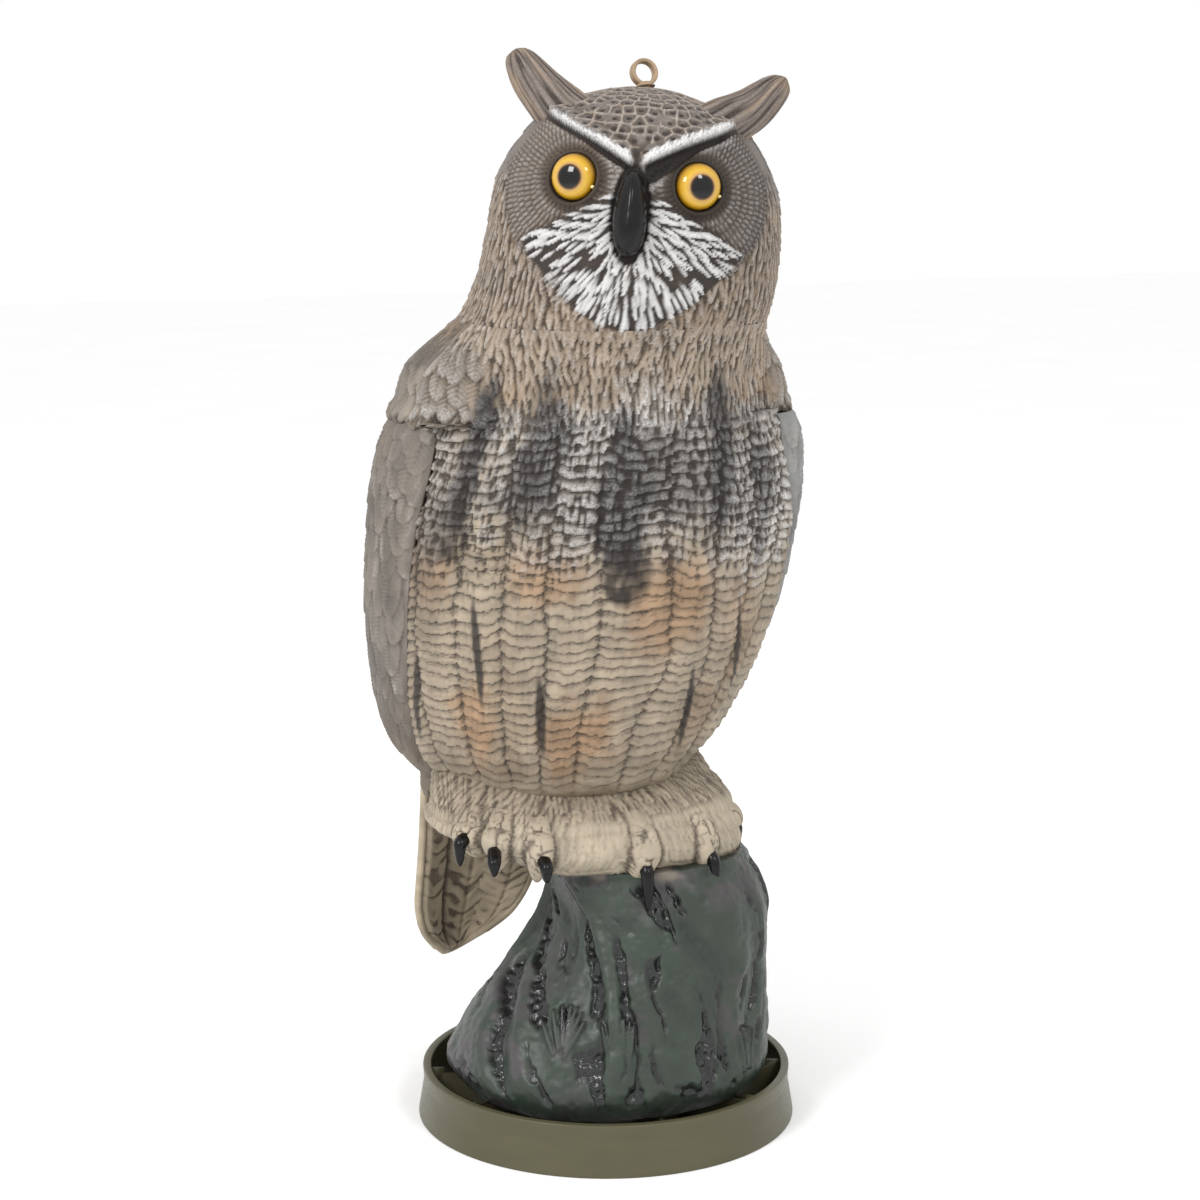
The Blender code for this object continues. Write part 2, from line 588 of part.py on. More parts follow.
def build_eyes():
    """Each eye: a clear dome on an amber iris disc, whose stem a push-on clip holds inside the head."""
    for side, name in ((-1, "right"), (1, "left")):
        frame = eye_frame(side)
        floor = -0.0055 + GAP
        iris = turned(
            [(0, -0.0180), (0.0020, -0.0180), (0.0024, -0.0165), (0.0024, floor), (EYE_RADIUS, floor),
             (EYE_RADIUS, -0.0032), (0.0075, -0.0018), (0.004, -0.0012), (0, -0.0010)],
            24,
        )
        placed(f"eye_{name}_iris", iris, "eye_amber", frame)
        rim = -0.0032 + GAP
        dome = [(EYE_RADIUS * cos(a), rim + 0.0012 + 0.0060 * sin(a)) for a in even_angles(0, pi / 2, 6)]
        lens = turned(
            [(0, -0.0010 + GAP), (0.004, -0.0012 + GAP), (0.0075, -0.0018 + GAP),
             (EYE_RADIUS, rim), *dome[:-1], (0, rim + 0.0072)],
            24,
        )
        placed(f"eye_{name}_lens", lens, "eye_clear", frame)
        clip = turned(
            [(0.0024 + GAP, -0.0135), (0.0070, -0.0125), (0.0070, -0.0118), (0.0024 + GAP, -0.0127)], 16
        )
        placed(f"eye_{name}_clip", clip, "zinc_steel", frame)


def beak_frame():
    """The beak's frame: Z points forward out of the face, Y runs up the beak."""
    return head_frame() @ aimed((0, -0.0641, 0.0050), (0, -1, 0.12))


def build_beak():
    """The beak: a long glossy teardrop on a peg, with a push-on clip behind the face."""
    bm = bmesh.new()
    bmesh.ops.create_uvsphere(bm, u_segments=16, v_segments=12, radius=1.0)
    for v in bm.verts:
        up, out = v.co.y, v.co.z
        width = 0.0082 * (1 - 0.16 * up)
        bulge = 0.0105 if up > 0 else 0.0105 + 0.0025 * -up
        v.co = Vector((v.co.x * width, up * 0.0230, 0.0016 + out * (bulge if out > 0 else 0.0012)))
    beak = placed("beak", bm, "gloss_black", beak_frame())
    peg = turned([(0, -0.012), (0.0022, -0.012), (0.0026, -0.010), (0.0026, 0.004), (0, 0.004)], 12)
    combine(beak, placed("beak_peg", peg, "gloss_black", beak_frame()), "UNION")
    hole = 0.0026 + GAP
    clip = turned([(hole, -0.0078), (0.0060, -0.0070), (0.0060, -0.0063), (hole, -0.0070)], 16)
    placed("beak_clip", clip, "zinc_steel", beak_frame())


# ---------------------------------------------------------------- hanging ring
RING_RADIUS = 0.0061  # middle of the ring's bar
RING_BAR = 0.0020
RING_LENGTH = 0.0050
RING_STEM = 0.0028
RING_TILT = radians(16)


def ring_frame():
    """The hanging ring's frame: its origin is on the crown, Z goes up its stem, and Y through its hole."""
    crown = head_frame() @ Vector((0.000, 0.006, HEAD_TOP - 0.0005))
    return Matrix.Translation(crown) @ Matrix.Rotation(-RING_TILT, 4, "X")


def build_ring():
    """The ring on the crown that the decoy hangs from, its stem through the crown, and its nut."""
    rise = RING_RADIUS + 0.0026
    half = RING_LENGTH / 2
    loop = turned(
        [(RING_RADIUS - RING_BAR / 2, -half), (RING_RADIUS + RING_BAR / 2, -half),
         (RING_RADIUS + RING_BAR / 2, half), (RING_RADIUS - RING_BAR / 2, half)],
        20,
    )
    lay = ring_frame() @ Matrix.Translation((0, 0, rise)) @ Matrix.Rotation(pi / 2, 4, "X")
    ring = placed("hang_ring", loop, "feather_tan", lay)
    stem = turned(
        [(0, -0.0125), (RING_STEM * 0.85, -0.0125), (RING_STEM * 0.85, -0.0060), (RING_STEM, -0.0055),
         (RING_STEM, 0.0016), (0.0046, 0.0018), (0.0046, 0.0028), (0.0030, 0.0036), (0, 0.0036)],
        14,
    )
    combine(ring, placed("ring_stem", stem, "feather_tan", ring_frame()), "UNION")
    bore = (RING_STEM * 0.85 + GAP) / cos(pi / 6)
    nut = turned(
        [(bore, -0.0110), (0.0056, -0.0110), (0.0056, -0.0082), (bore, -0.0082)],
        6,
    )
    placed("hang_ring_nut", nut, "natural_nylon", ring_frame())


# ---------------------------------------------------------------- wings
BRACKET_PLATE = 0.0015
SCREW_OUT = 0.0034  # from the flank to the bracket's screws
EAR_THICK = 0.0030
EAR_RADIUS = 0.0029
EAR_NECK = 0.0034
PIN_RADIUS = 0.0017
BUSH_RADIUS = 0.0027
LUG_RADIUS = 0.0038
WING_LOW, WING_HIGH = 0.1660, WING_AXIS[1] + 0.0030


def wing_axis(side):
    """x and z of the axis that a wing flaps about, which runs along Y."""
    out, height = WING_AXIS
    middle_x, _, half_width, *_ = section_at(TORSO, height)
    return middle_x + side * (half_width + out), height


def bracket_screws():
    """The name and y of the two screws of a bracket."""
    middle = sum(WING_AXIS_Y) / 2
    return [("front", middle - 0.008), ("rear", middle + 0.008)]


def wing_span(t):
    """Angles of the front and rear edges of a wing, from the front, at a share t of its height."""
    front = radians(60 + 26 * (1 - t) ** 1.3)
    rear = radians(128 + 30 * sin(pi * min(1.0, 0.08 + t * 0.80)) ** 0.7)
    tip = max(0.0, 0.16 - t) / 0.16
    crown = max(0.0, t - 0.85) / 0.15
    middle = radians(124) if t < 0.5 else radians(100)
    pinch = (1 - (1 - tip * tip) ** 0.5) * 0.78
    front_pinch, rear_pinch = max(pinch, crown ** 2 * 0.18), max(pinch, crown * 0.56)
    return front + (middle - front) * front_pinch, rear + (middle - rear) * rear_pinch


def wing_stand(t, u):
    """How far the wing's outer skin stands off the torso, at a share u from its front edge to its rear."""
    edge = min(1.0, 4.5 * u, 4.5 * (1 - u))
    top = 0.0045 * min(1.0, max(0.0, (t - 0.70) / 0.22))
    hug = WING_HUG + 0.0018 * max(0.0, t - 0.85) / 0.15
    return hug + (WING_MARGIN + top - hug) * sin(pi / 2 * edge) - (0.0012 if t == 1 else 0.0)


def build_wing(side):
    """A wing: a curved panel over the flank with a hollow back, and a lug on its pivot pin."""
    name = "left" if side > 0 else "right"
    outer, inner = [], []
    for t in spaced(0, 0.06, 3) + spaced(0.12, 0.985, 9) + [1]:
        z = WING_LOW + (WING_HIGH - WING_LOW) * t
        columns = section_at(TORSO, max(z, 0.185))
        start, end = wing_span(t)
        row_out, row_in = [], []
        for u in spaced(0, 1, 11):
            angle = side * (start + (end - start) * u)
            stand = wing_stand(t, u)
            row_out.append(Vector((*oval(*columns, angle, stand), z)))
            row_in.append(Vector((*oval(*columns, angle, stand - WING_THICK), z)))
        outer.append(row_out)
        inner.append(row_in)
    wing = placed(f"wing_{name}", sheet_bmesh(outer, inner), "feather_grey")
    x, z = wing_axis(side)
    front, rear = WING_AXIS_Y
    length = rear - front - 2 * EAR_THICK - 0.0012
    along = Matrix.Translation((x, (front + rear) / 2, z)) @ Matrix.Rotation(pi / 2, 4, "X")
    barrel = rod(LUG_RADIUS, length / 2, 16)
    combine(wing, placed(f"lug_barrel_{name}", barrel, "feather_grey", along), "UNION")
    slot, bore, inner = 0.0036, BUSH_RADIUS + GAP / 2, length / 2 - 0.0003
    end = (rear - front) / 2 + 0.0034
    room = turned(
        [(0, -end), (slot, -end), (slot, -inner), (bore, -inner), (bore, inner), (slot, inner), (slot, end),
         (0, end)],
        16,
    )
    combine(wing, placed(f"lug_room_{name}", room, "feather_grey", along), "DIFFERENCE")
    build_pivot(side, name, along, length)


def rod(radius, half, steps):
    return turned([(0, -half), (radius, -half), (radius, half), (0, half)], steps)


def build_pivot(side, name, along, lug_length):
    """The bracket, pin, bush, clip and screws that a wing hangs on."""
    x, z = wing_axis(side)
    flank = x - side * WING_AXIS[0]
    front, rear = WING_AXIS_Y
    middle = (front + rear) / 2
    top = SHELF - GAP
    start, end = 0.0004, WING_AXIS[0] + EAR_RADIUS
    plate = box(
        (end - start, rear - front, BRACKET_PLATE),
        (flank + side * (start + end) / 2, middle, top - BRACKET_PLATE / 2),
    )
    bracket = placed(f"wing_{name}_bracket", plate, "zinc_steel")
    drop = top - 0.0005 - z
    for y in (front + EAR_THICK / 2, rear - EAR_THICK / 2):
        ear = box((EAR_NECK, EAR_THICK, drop), (x, y, z + drop / 2))
        combine(bracket, placed(f"ear_{name}_{y:.3f}", ear, "zinc_steel"), "UNION")
        at = Matrix.Translation((x, y, z)) @ Matrix.Rotation(pi / 2, 4, "X")
        eye = placed(f"ear_end_{name}_{y:.3f}", rod(EAR_RADIUS, EAR_THICK / 2, 16), "zinc_steel", at)
        combine(bracket, eye, "UNION")
    hole = rod(PIN_RADIUS + GAP / 2, 0.03, 14)
    combine(bracket, placed(f"ear_hole_{name}", hole, "zinc_steel", along), "DIFFERENCE")
    for place, y in bracket_screws():
        at = Matrix.Translation((flank + side * SCREW_OUT, y, top - BRACKET_PLATE - GAP))
        drill = placed(f"bracket_drill_{name}_{place}", rod(0.0017, 0.01, 10), "zinc_steel", at)
        combine(bracket, drill, "DIFFERENCE")
        screw = screw_bmesh(0.0013, 0.0085, 0.0028, 0.0014)
        placed(f"wing_{name}_screw_{place}", screw, "zinc_steel", at @ Matrix.Rotation(pi, 4, "X"))
    half = (rear - front) / 2
    pin = turned(
        [(0, -half - 0.0026), (PIN_RADIUS, -half - 0.0026), (PIN_RADIUS, half + GAP), (0.0028, half + GAP),
         (0.0028, half + 0.0012), (0.0022, half + 0.0018), (0, half + 0.0018)],
        14,
    )
    placed(f"wing_{name}_pin", pin, "zinc_steel", along)
    loose = PIN_RADIUS + GAP / 2
    under, over = -half - 0.0016, -half - 0.0006
    clip = [(loose, under), (0.0031, under), (0.0031, over), (loose, over)]
    placed(f"wing_{name}_clip", turned(clip, 14), "zinc_steel", along)
    end = lug_length / 2
    bush = [(loose, -end), (BUSH_RADIUS, -end), (BUSH_RADIUS, end), (loose, end)]
    placed(f"wing_{name}_bush", turned(bush, 16), "natural_nylon", along)


# ---------------------------------------------------------------- the whole decoy
def main():
    for old in list(bpy.data.objects):
        bpy.data.objects.remove(old)
    build_base()
    build_stump()
    build_collar()
    build_feet()
    build_talons()
    build_torso()
    build_tail()
    build_head()
    build_eyes()
    build_beak()
    build_ring()
    for side in (-1, 1):
        build_wing(side)


main()
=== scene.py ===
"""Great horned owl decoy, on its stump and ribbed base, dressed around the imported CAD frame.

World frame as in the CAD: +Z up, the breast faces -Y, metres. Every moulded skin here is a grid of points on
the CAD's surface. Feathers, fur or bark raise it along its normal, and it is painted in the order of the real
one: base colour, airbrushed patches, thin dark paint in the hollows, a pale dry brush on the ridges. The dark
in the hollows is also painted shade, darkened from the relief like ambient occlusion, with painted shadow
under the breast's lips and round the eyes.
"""

from math import cos, pi, radians, sin

import bpy
import numpy as np
from mathutils import Matrix, Vector


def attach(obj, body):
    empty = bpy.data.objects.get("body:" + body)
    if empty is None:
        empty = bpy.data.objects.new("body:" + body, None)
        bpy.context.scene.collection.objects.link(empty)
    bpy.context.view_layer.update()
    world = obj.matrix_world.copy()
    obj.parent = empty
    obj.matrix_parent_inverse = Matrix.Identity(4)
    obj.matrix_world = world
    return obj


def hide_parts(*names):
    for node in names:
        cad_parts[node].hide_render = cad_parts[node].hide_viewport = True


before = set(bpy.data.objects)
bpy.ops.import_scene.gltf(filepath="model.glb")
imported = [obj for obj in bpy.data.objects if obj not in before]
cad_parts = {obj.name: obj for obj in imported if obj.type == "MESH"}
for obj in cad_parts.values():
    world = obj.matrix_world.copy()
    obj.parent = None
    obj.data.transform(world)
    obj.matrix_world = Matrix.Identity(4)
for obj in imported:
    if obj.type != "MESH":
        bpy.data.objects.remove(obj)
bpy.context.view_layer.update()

# ---------------------------------------------------------------- driving dimensions, as in the CAD
SUPER = 2.25
HEAD_CENTRE = Vector((0.0035, -0.031, 0.487))
HEAD_YAW, HEAD_ROLL = radians(-24), radians(4.4)
HEAD_SEAM, HEAD_TOP = 0.4320, 0.0625
EYE_RADIUS, EYE_PLACE = 0.0118, (0.0310, 0.0177)
EYE_FRONT, EYE_OUT, EYE_UP = -0.0575, 0.36, 0.05  # the socket's place, and how far the gaze turns out and up
SHELF, SHOULDER = 0.3868, 0.0140
WING_AXIS, WING_AXIS_Y = (0.0100, 0.3795), (-0.0180, 0.0120)
WING_LOW, WING_TOP = 0.1660, 0.3852
WING_MARGIN, WING_HUG, WING_THICK = 0.0095, 0.0056, 0.0028
BASE_RADIUS, BASE_FLARE, BASE_HEIGHT, BASE_RIBS = 0.100, 0.0025, 0.0275, 10
RIB_STEPS = ((0.0455, 0.0590, 0.0183), (0.0575, 0.0885, 0.0219), (0.0870, 0.0980, 0.0245))
HUB_RADIUS = 0.044

# Skins: height, middle x, middle y, half width, half depth in front, half depth behind.
TORSO = [
    (0.1765, -0.016, 0.042, 0.044, 0.046, 0.046),
    (0.186, -0.015, 0.042, 0.061, 0.066, 0.060),
    (0.200, -0.014, 0.040, 0.076, 0.080, 0.072),
    (0.225, -0.013, 0.034, 0.088, 0.088, 0.080),
    (0.260, -0.012, 0.022, 0.097, 0.091, 0.086),
    (0.300, -0.011, 0.011, 0.1025, 0.089, 0.088),
    (0.340, -0.0095, 0.003, 0.1020, 0.085, 0.086),
    (0.370, -0.0090, -0.002, 0.0950, 0.081, 0.082),
    (0.395, -0.0090, -0.007, 0.0870, 0.077, 0.077),
    (0.412, -0.0105, -0.013, 0.0830, 0.072, 0.073),
    (0.425, -0.010, -0.020, 0.0800, 0.069, 0.071),
    (0.437, -0.006, -0.026, 0.0775, 0.0675, 0.0690),
    (0.460, -0.001, -0.030, 0.0745, 0.0655, 0.0670),
]
# The head's sections are about its own centre.
HEAD = [
    (-0.050, 0, 0.000, 0.0740, 0.0650, 0.0660),
    (-0.030, 0, 0.000, 0.0740, 0.0650, 0.0650),
    (-0.005, 0, 0.000, 0.0730, 0.0640, 0.0640),
    (0.015, 0, 0.000, 0.0700, 0.0625, 0.0615),
    (0.032, 0, 0.001, 0.0620, 0.0580, 0.0560),
    (0.046, 0, 0.002, 0.0500, 0.0480, 0.0460),
    (0.056, 0, 0.003, 0.0340, 0.0340, 0.0330),
    (0.061, 0, 0.003, 0.0170, 0.0170, 0.0170),
]
STUMP = [
    (0.0223, 0.000, 0.000, 0.0800, 0.0780, 0.0780),
    (0.030, 0.000, 0.000, 0.0850, 0.0820, 0.0820),
    (0.050, 0.003, -0.001, 0.0820, 0.0790, 0.0780),
    (0.075, 0.012, -0.004, 0.0720, 0.0700, 0.0680),
    (0.100, 0.022, -0.007, 0.0630, 0.0610, 0.0570),
    (0.122, 0.026, -0.008, 0.0590, 0.0560, 0.0520),
    (0.1465, 0.018, -0.006, 0.0560, 0.0480, 0.0460),
]
FEET = [
    (0.1468, -0.007, 0.004, 0.0730, 0.0520, 0.0460),
    (0.154, -0.013, 0.003, 0.0810, 0.0580, 0.0500),
    (0.163, -0.016, 0.004, 0.0830, 0.0600, 0.0510),
    (0.171, -0.015, 0.008, 0.0775, 0.0570, 0.0500),
    (0.1757, -0.012, 0.013, 0.0600, 0.0480, 0.0440),
]
TOES = [
    ("right_outer", (-0.080, -0.020, 0.174), (-0.098, -0.036, 0.168)),
    ("right_middle", (-0.074, -0.030, 0.172), (-0.084, -0.055, 0.161)),
    ("right_inner", (-0.054, -0.034, 0.172), (-0.057, -0.063, 0.158)),
    ("left_inner", (-0.001, -0.034, 0.172), (0.000, -0.063, 0.156)),
    ("left_middle", (0.036, -0.028, 0.172), (0.042, -0.056, 0.157)),
    ("left_outer", (0.050, -0.011, 0.174), (0.0705, -0.026, 0.166)),
]
TOE_RADIUS = 0.0110
# Each claw's share of a full claw's length, how far it is sunk into its toe, and how far it is lowered.
CLAW_REACH = (0.75, 0.45, 0.50, 1.30, 1.15, 0.85)
CLAW_INSET = 0.0070
CLAW_DROP = (0.0, 0.0, 0.0, 0.0065, 0.0075, 0.0070)
TUFTS = {
    "right": [
        (-0.0300, -0.0200, 0.0420), (-0.0430, -0.0145, 0.0500), (-0.0550, -0.0085, 0.0615),
        (-0.0630, -0.0045, 0.0710), (-0.0665, -0.0030, 0.0765),
    ],
    "left": [
        (0.0280, -0.0210, 0.0410), (0.0405, -0.0155, 0.0480), (0.0535, -0.0095, 0.0560),
        (0.0640, -0.0050, 0.0665), (0.0695, -0.0030, 0.0728),
    ],
}


def srgb(red, green, blue):
    """A linear colour from 8-bit display values."""
    values = np.array((red, green, blue)) / 255
    return np.where(values <= 0.04045, values / 12.92, ((values + 0.055) / 1.055) ** 2.4)


CREAM, PEACH, TAN = srgb(182, 168, 148), srgb(176, 145, 115), srgb(150, 128, 103)
WHITE, SILVER = srgb(206, 205, 204), srgb(158, 151, 143)
# DISC_SHADE is the disc brown with painted shade, for the disc turned away from the key light; it also
# darkens the ground round the beak.
CROWN, DISC, DISC_SHADE = srgb(112, 100, 92), srgb(114, 99, 86), srgb(86, 75, 66)
SOOT, NEAR_BLACK = srgb(52, 48, 47), srgb(18, 16, 16)
WING_GREY, WING_BROWN, WING_BLUE = srgb(126, 115, 103), srgb(100, 87, 74), srgb(150, 153, 154)
FUR = srgb(196, 184, 163)
TAIL_TAN = srgb(184, 169, 145)
MOSS, BARK_GREY = srgb(52, 66, 54), srgb(78, 74, 76)
AMBER, BLACK = srgb(226, 160, 40), srgb(24, 22, 22)


# ---------------------------------------------------------------- fields over points
def smooth(value, start, end):
    """0 before start and 1 past end, with an easy curve between."""
    t = np.clip((value - start) / (end - start), 0, 1)
    return t * t * (3 - 2 * t)


def chance(*keys):
    """A repeatable random value from 0 to 1 for each set of whole-number keys."""
    mixed = sum(np.asarray(key) * prime for key, prime in zip(keys, (127.1, 311.7, 74.7, 269.5)))
    value = np.sin(mixed) * 43758.5453
    return value - np.floor(value)


def noise(points, size, seed):
    """A smooth random field from -1 to 1, with bumps of that size (or sizes along x, y and z)."""
    scaled = points / size
    cell = np.floor(scaled)
    t = scaled - cell
    t = t * t * (3 - 2 * t)
    total = 0
    for corner in np.ndindex(2, 2, 2):
        weight = np.prod(np.where(corner, t, 1 - t), axis=-1)
        total = total + weight * chance(*np.moveaxis(cell + corner, -1, 0), seed)
    return total * 2 - 1


def blur(values, reach):
    """The mean over a square of 2 * reach + 1 points."""
    for axis in (0, 1):
        pad = [(reach + 1, reach) if k == axis else (0, 0) for k in (0, 1)]
        sums = np.cumsum(np.pad(values, pad, mode="edge"), axis=axis)
        size = 2 * reach + 1
        ends = np.take(sums, range(size, sums.shape[axis]), axis=axis)
        values = (ends - np.take(sums, range(sums.shape[axis] - size), axis=axis)) / size
    return values


def blend(colours, target, mask):
    """Colours moved towards the target by the mask."""
    mask = np.clip(mask, 0, 1)[..., None]
    return colours * (1 - mask) + target * mask


def columns_at(sections, heights):
    """The sections' columns at each height, on a smooth curve through them."""
    table = np.array(sections, float)
    knots, values = table[:, 0], table[:, 1:]
    slopes = np.gradient(values, knots, axis=0)
    heights = np.asarray(heights, float)
    i = np.clip(np.searchsorted(knots, heights) - 1, 0, len(knots) - 2)
    step = (knots[i + 1] - knots[i])[..., None]
    t = (heights[..., None] - knots[i][..., None]) / step
    return (
        (1 + 2 * t) * (1 - t) ** 2 * values[i]
        + t * (1 - t) ** 2 * step * slopes[i]
        + t * t * (3 - 2 * t) * values[i + 1]
        + t * t * (t - 1) * step * slopes[i + 1]
    )


def on_skin(sections, angle, height, grow=0.0):
    """Points of a skin. Angle 0 is the front (-Y) and 90 degrees is +X."""
    angle, height = np.broadcast_arrays(angle, height)
    middle_x, middle_y, half, front, back = np.moveaxis(columns_at(sections, height), -1, 0)
    s, c = np.sin(angle), np.cos(angle)
    depth = np.where(c > 0, front, back)
    x = middle_x + np.sign(s) * np.abs(s) ** (2 / SUPER) * (half + grow)
    y = middle_y - np.sign(c) * np.abs(c) ** (2 / SUPER) * (depth + grow)
    return np.stack([x, y, height], -1)


def lengths(points, axis):
    """Distance run along an axis of a grid, from 0 at its start."""
    steps = np.linalg.norm(np.diff(points, axis=axis), axis=-1)
    pad = [(1, 0) if k == axis else (0, 0) for k in (0, 1)]
    return np.cumsum(np.pad(steps, pad), axis=axis)


def moved(matrix, points):
    """Points through a 4x4 matrix."""
    matrix = np.array(matrix)
    return points @ matrix[:3, :3].T + matrix[:3, 3]


# ---------------------------------------------------------------- modelled and painted skins
class Skin:
    """A grid of points with outward normals, the relief raised on it, and its paint."""

    def __init__(self, points, colour, wrap=False, pole=False):
        self.points, self.wrap, self.pole = points, wrap, pole
        across, up = np.gradient(points, axis=1), np.gradient(points, axis=0)
        if wrap:
            across = np.roll(points, -1, axis=1) - np.roll(points, 1, axis=1)
        normal = np.cross(across, up)
        if pole:
            normal[-1] = normal[-2].mean(axis=0)
        self.normal = normal / np.linalg.norm(normal, axis=-1, keepdims=True)
        shape = points.shape[:2]
        self.height, self.outline, self.tone = np.zeros(shape), np.zeros(shape), np.zeros(shape)
        # The dark layer holds dark paint, such as dashes, cracks and crevices, and painted shade under lips,
        # round the eyes and in grooves.
        self.brush, self.gloss, self.dark_paint_and_shade = np.zeros(shape), np.zeros(shape), np.zeros(shape)
        self.colour = np.zeros((*shape, 3)) + colour

    def paint(self, target, mask):
        """Moves the colour towards the target by the mask."""
        self.colour = blend(self.colour, target, mask)

    def dry_brush(self, amount):
        """Raises the share of dry brush on the ridges to at least that amount."""
        self.brush = np.maximum(self.brush, amount)

    def window(self, row, column, reach):
        """Row and column numbers of the points within reach of a place."""
        rows, columns = self.points.shape[:2]
        near_row = self.points[min(row + 1, rows - 1), column] - self.points[max(row - 1, 0), column]
        near_column = self.points[row, (column + 1) % columns] - self.points[row, column - 1]
        tall = int(min(70, 2 * reach / (np.linalg.norm(near_row) + 1e-6))) + 1
        wide = int(min(columns // 2 - 1, 70, 2 * reach / (np.linalg.norm(near_column) + 1e-6))) + 1
        across = np.arange(column - wide, column + wide + 1)
        if self.wrap:
            across = across % columns
        else:
            across = across[(across >= 0) & (across < columns)]
        return np.ix_(np.arange(max(0, row - tall), min(rows, row + tall + 1)), across)

    def feather(self, place, along, length, width, lift, edge, root, barbs=0, tone=0.0):
        """Raises one lobe at a place, from its root to its round tip. Edge and root are the shares of the
        height left at its outline and its root, and a negative lift carves it instead."""
        centre, normal = self.points[place], self.normal[place]
        along = np.array(along) - normal * (np.array(along) @ normal)
        along /= np.linalg.norm(along) + 1e-9
        window = self.window(*place, length * 0.62)
        offset = self.points[window] - centre
        t = offset @ along / length + 0.5
        b = offset @ np.cross(normal, along) / (width / 2)
        tip = np.sqrt(np.clip(1 - ((t - 0.4) / 0.6) ** 2, 0, 1))
        half = np.where(t > 0.4, tip, 0.65 + 0.35 * t / 0.4)
        near = np.abs(b) / np.maximum(half, 0.001)
        inside = (t > 0) & (t < 1) & (near < 1) & (np.abs(offset @ normal) < 0.5 * length)
        rise = (root + (1 - root) * t) * (edge + (1 - edge) * np.sqrt(np.clip(1 - near * near, 0, 1)))
        if barbs:
            rise = rise + 0.11 * np.sin(2 * pi * barbs * (t - 0.30 * np.abs(b) * width / length))
            rise = rise - 0.14 * np.exp(-((b / 0.12) ** 2))
        shape = lift * rise
        wins = inside & (shape * np.sign(lift) > self.height[window] * np.sign(lift))
        self.height[window] = np.where(wins, shape, self.height[window])
        self.outline[window] = np.where(wins, np.maximum(near**4, smooth(t, 0.86, 1)), self.outline[window])
        self.tone[window] = np.where(wins, tone, self.tone[window])

    def places(self, pitch_up, pitch_across, where, seed):
        """Staggered places all over the part of the skin where the mask holds, from the top row down."""
        middle = self.points.shape[1] // 2
        rise, run = lengths(self.points, 0)[:, middle], lengths(self.points, 1)
        found = []
        for k, distance in enumerate(np.arange(pitch_up / 2, rise[-1], pitch_up)):
            row = int(np.searchsorted(rise, distance))
            count = max(1, round(run[row, -1] / pitch_across))
            for j in range(count):
                shift = 0.5 * (k % 2) + 0.5 * (chance(j, k, seed) - 0.5)
                column = int(np.searchsorted(run[row], (j + shift) * run[row, -1] / count))
                jump = round((chance(k, j, seed + 5) - 0.5) * 0.5 * pitch_up / (rise[-1] / len(rise)))
                place = (min(max(row + jump, 0), len(rise) - 1), min(column, run.shape[1] - 1))
                if where[place]:
                    found.append(place)
        return found

    def build(self, name, look, slot, body, replaces, depth=0.0008, reach=4, thickness=0.0):
        """The skin's object: a wall of that thickness if it has one, or an open skin that others close."""
        # Painted shade: hollows of the relief are darkened as ambient occlusion would, added to the dark
        # layer of paint and painted shade.
        local = self.height - blur(self.height, reach)
        hollow = np.clip(np.clip(-local / depth, 0, 1) + self.dark_paint_and_shade, 0, 1)
        ridge = np.clip(local / depth + 0.35, 0, 1) * self.brush
        relief = np.stack([hollow, ridge, self.gloss], -1)
        points = self.points + self.normal * self.height[..., None]
        colour = self.colour * (1 + self.tone[..., None])
        if thickness:
            inner = self.points - self.normal * thickness
            points = np.concatenate([points, inner[:, ::-1]], axis=1)
            colour = np.concatenate([colour, (self.colour * 0.8)[:, ::-1]], axis=1)
            relief = np.concatenate([relief, (relief * 0.3)[:, ::-1]], axis=1)
        rows, columns = points.shape[:2]
        index = np.arange(rows * columns).reshape(rows, columns)
        if self.wrap or thickness:
            index = np.hstack([index, index[:, :1]])
        body_rows = index[:-1] if self.pole else index
        quads = np.stack([body_rows[:-1, :-1], body_rows[:-1, 1:], body_rows[1:, 1:], body_rows[1:, :-1]], -1)
        faces = quads.reshape(-1, 4).tolist()
        if thickness:
            half = columns // 2
            for j in range(half - 1):
                near, far = columns - 1 - j, columns - 2 - j
                faces.append([int(index[0, k]) for k in (j + 1, j, near, far)])
                faces.append([int(index[-1, k]) for k in (j, j + 1, far, near)])
        count = rows * columns
        if self.pole:
            count = (rows - 1) * columns + 1
            faces += [[int(a), int(b), count - 1] for a, b in zip(body_rows[-1, :-1], body_rows[-1, 1:])]
        layers = {"paint": colour.reshape(-1, 3)[:count], "relief": relief.reshape(-1, 3)[:count]}
        return piece(name, points.reshape(-1, 3)[:count], faces, look, body, replaces, layers)


def piece(name, points, faces, look, body, replaces=(), layers=None):
    """A named object that rides on a CAD body and stands for the CAD nodes it replaces."""
    mesh = bpy.data.meshes.new(name)
    mesh.from_pydata([tuple(p) for p in points], [], faces)
    for layer, values in (layers or {}).items():
        rgba = np.ones((len(values), 4))
        rgba[:, :3] = values
        mesh.attributes.new(layer, "FLOAT_COLOR", "POINT").data.foreach_set("color", rgba.ravel())
    mesh.update()
    mesh.shade_smooth()
    mesh.materials.append(look)
    obj = bpy.data.objects.new(name, mesh)
    bpy.context.scene.collection.objects.link(obj)
    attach(obj, body)
    if replaces:
        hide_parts(*replaces)
    return obj


# ---------------------------------------------------------------- materials
def new_look(name):
    look = bpy.data.materials.new(name)
    look.use_nodes = True
    return look, look.node_tree, look.node_tree.nodes["Principled BSDF"]


def node(tree, kind, **settings):
    made = tree.nodes.new("ShaderNode" + kind)
    for key, value in settings.items():
        setattr(made, key, value)
    return made


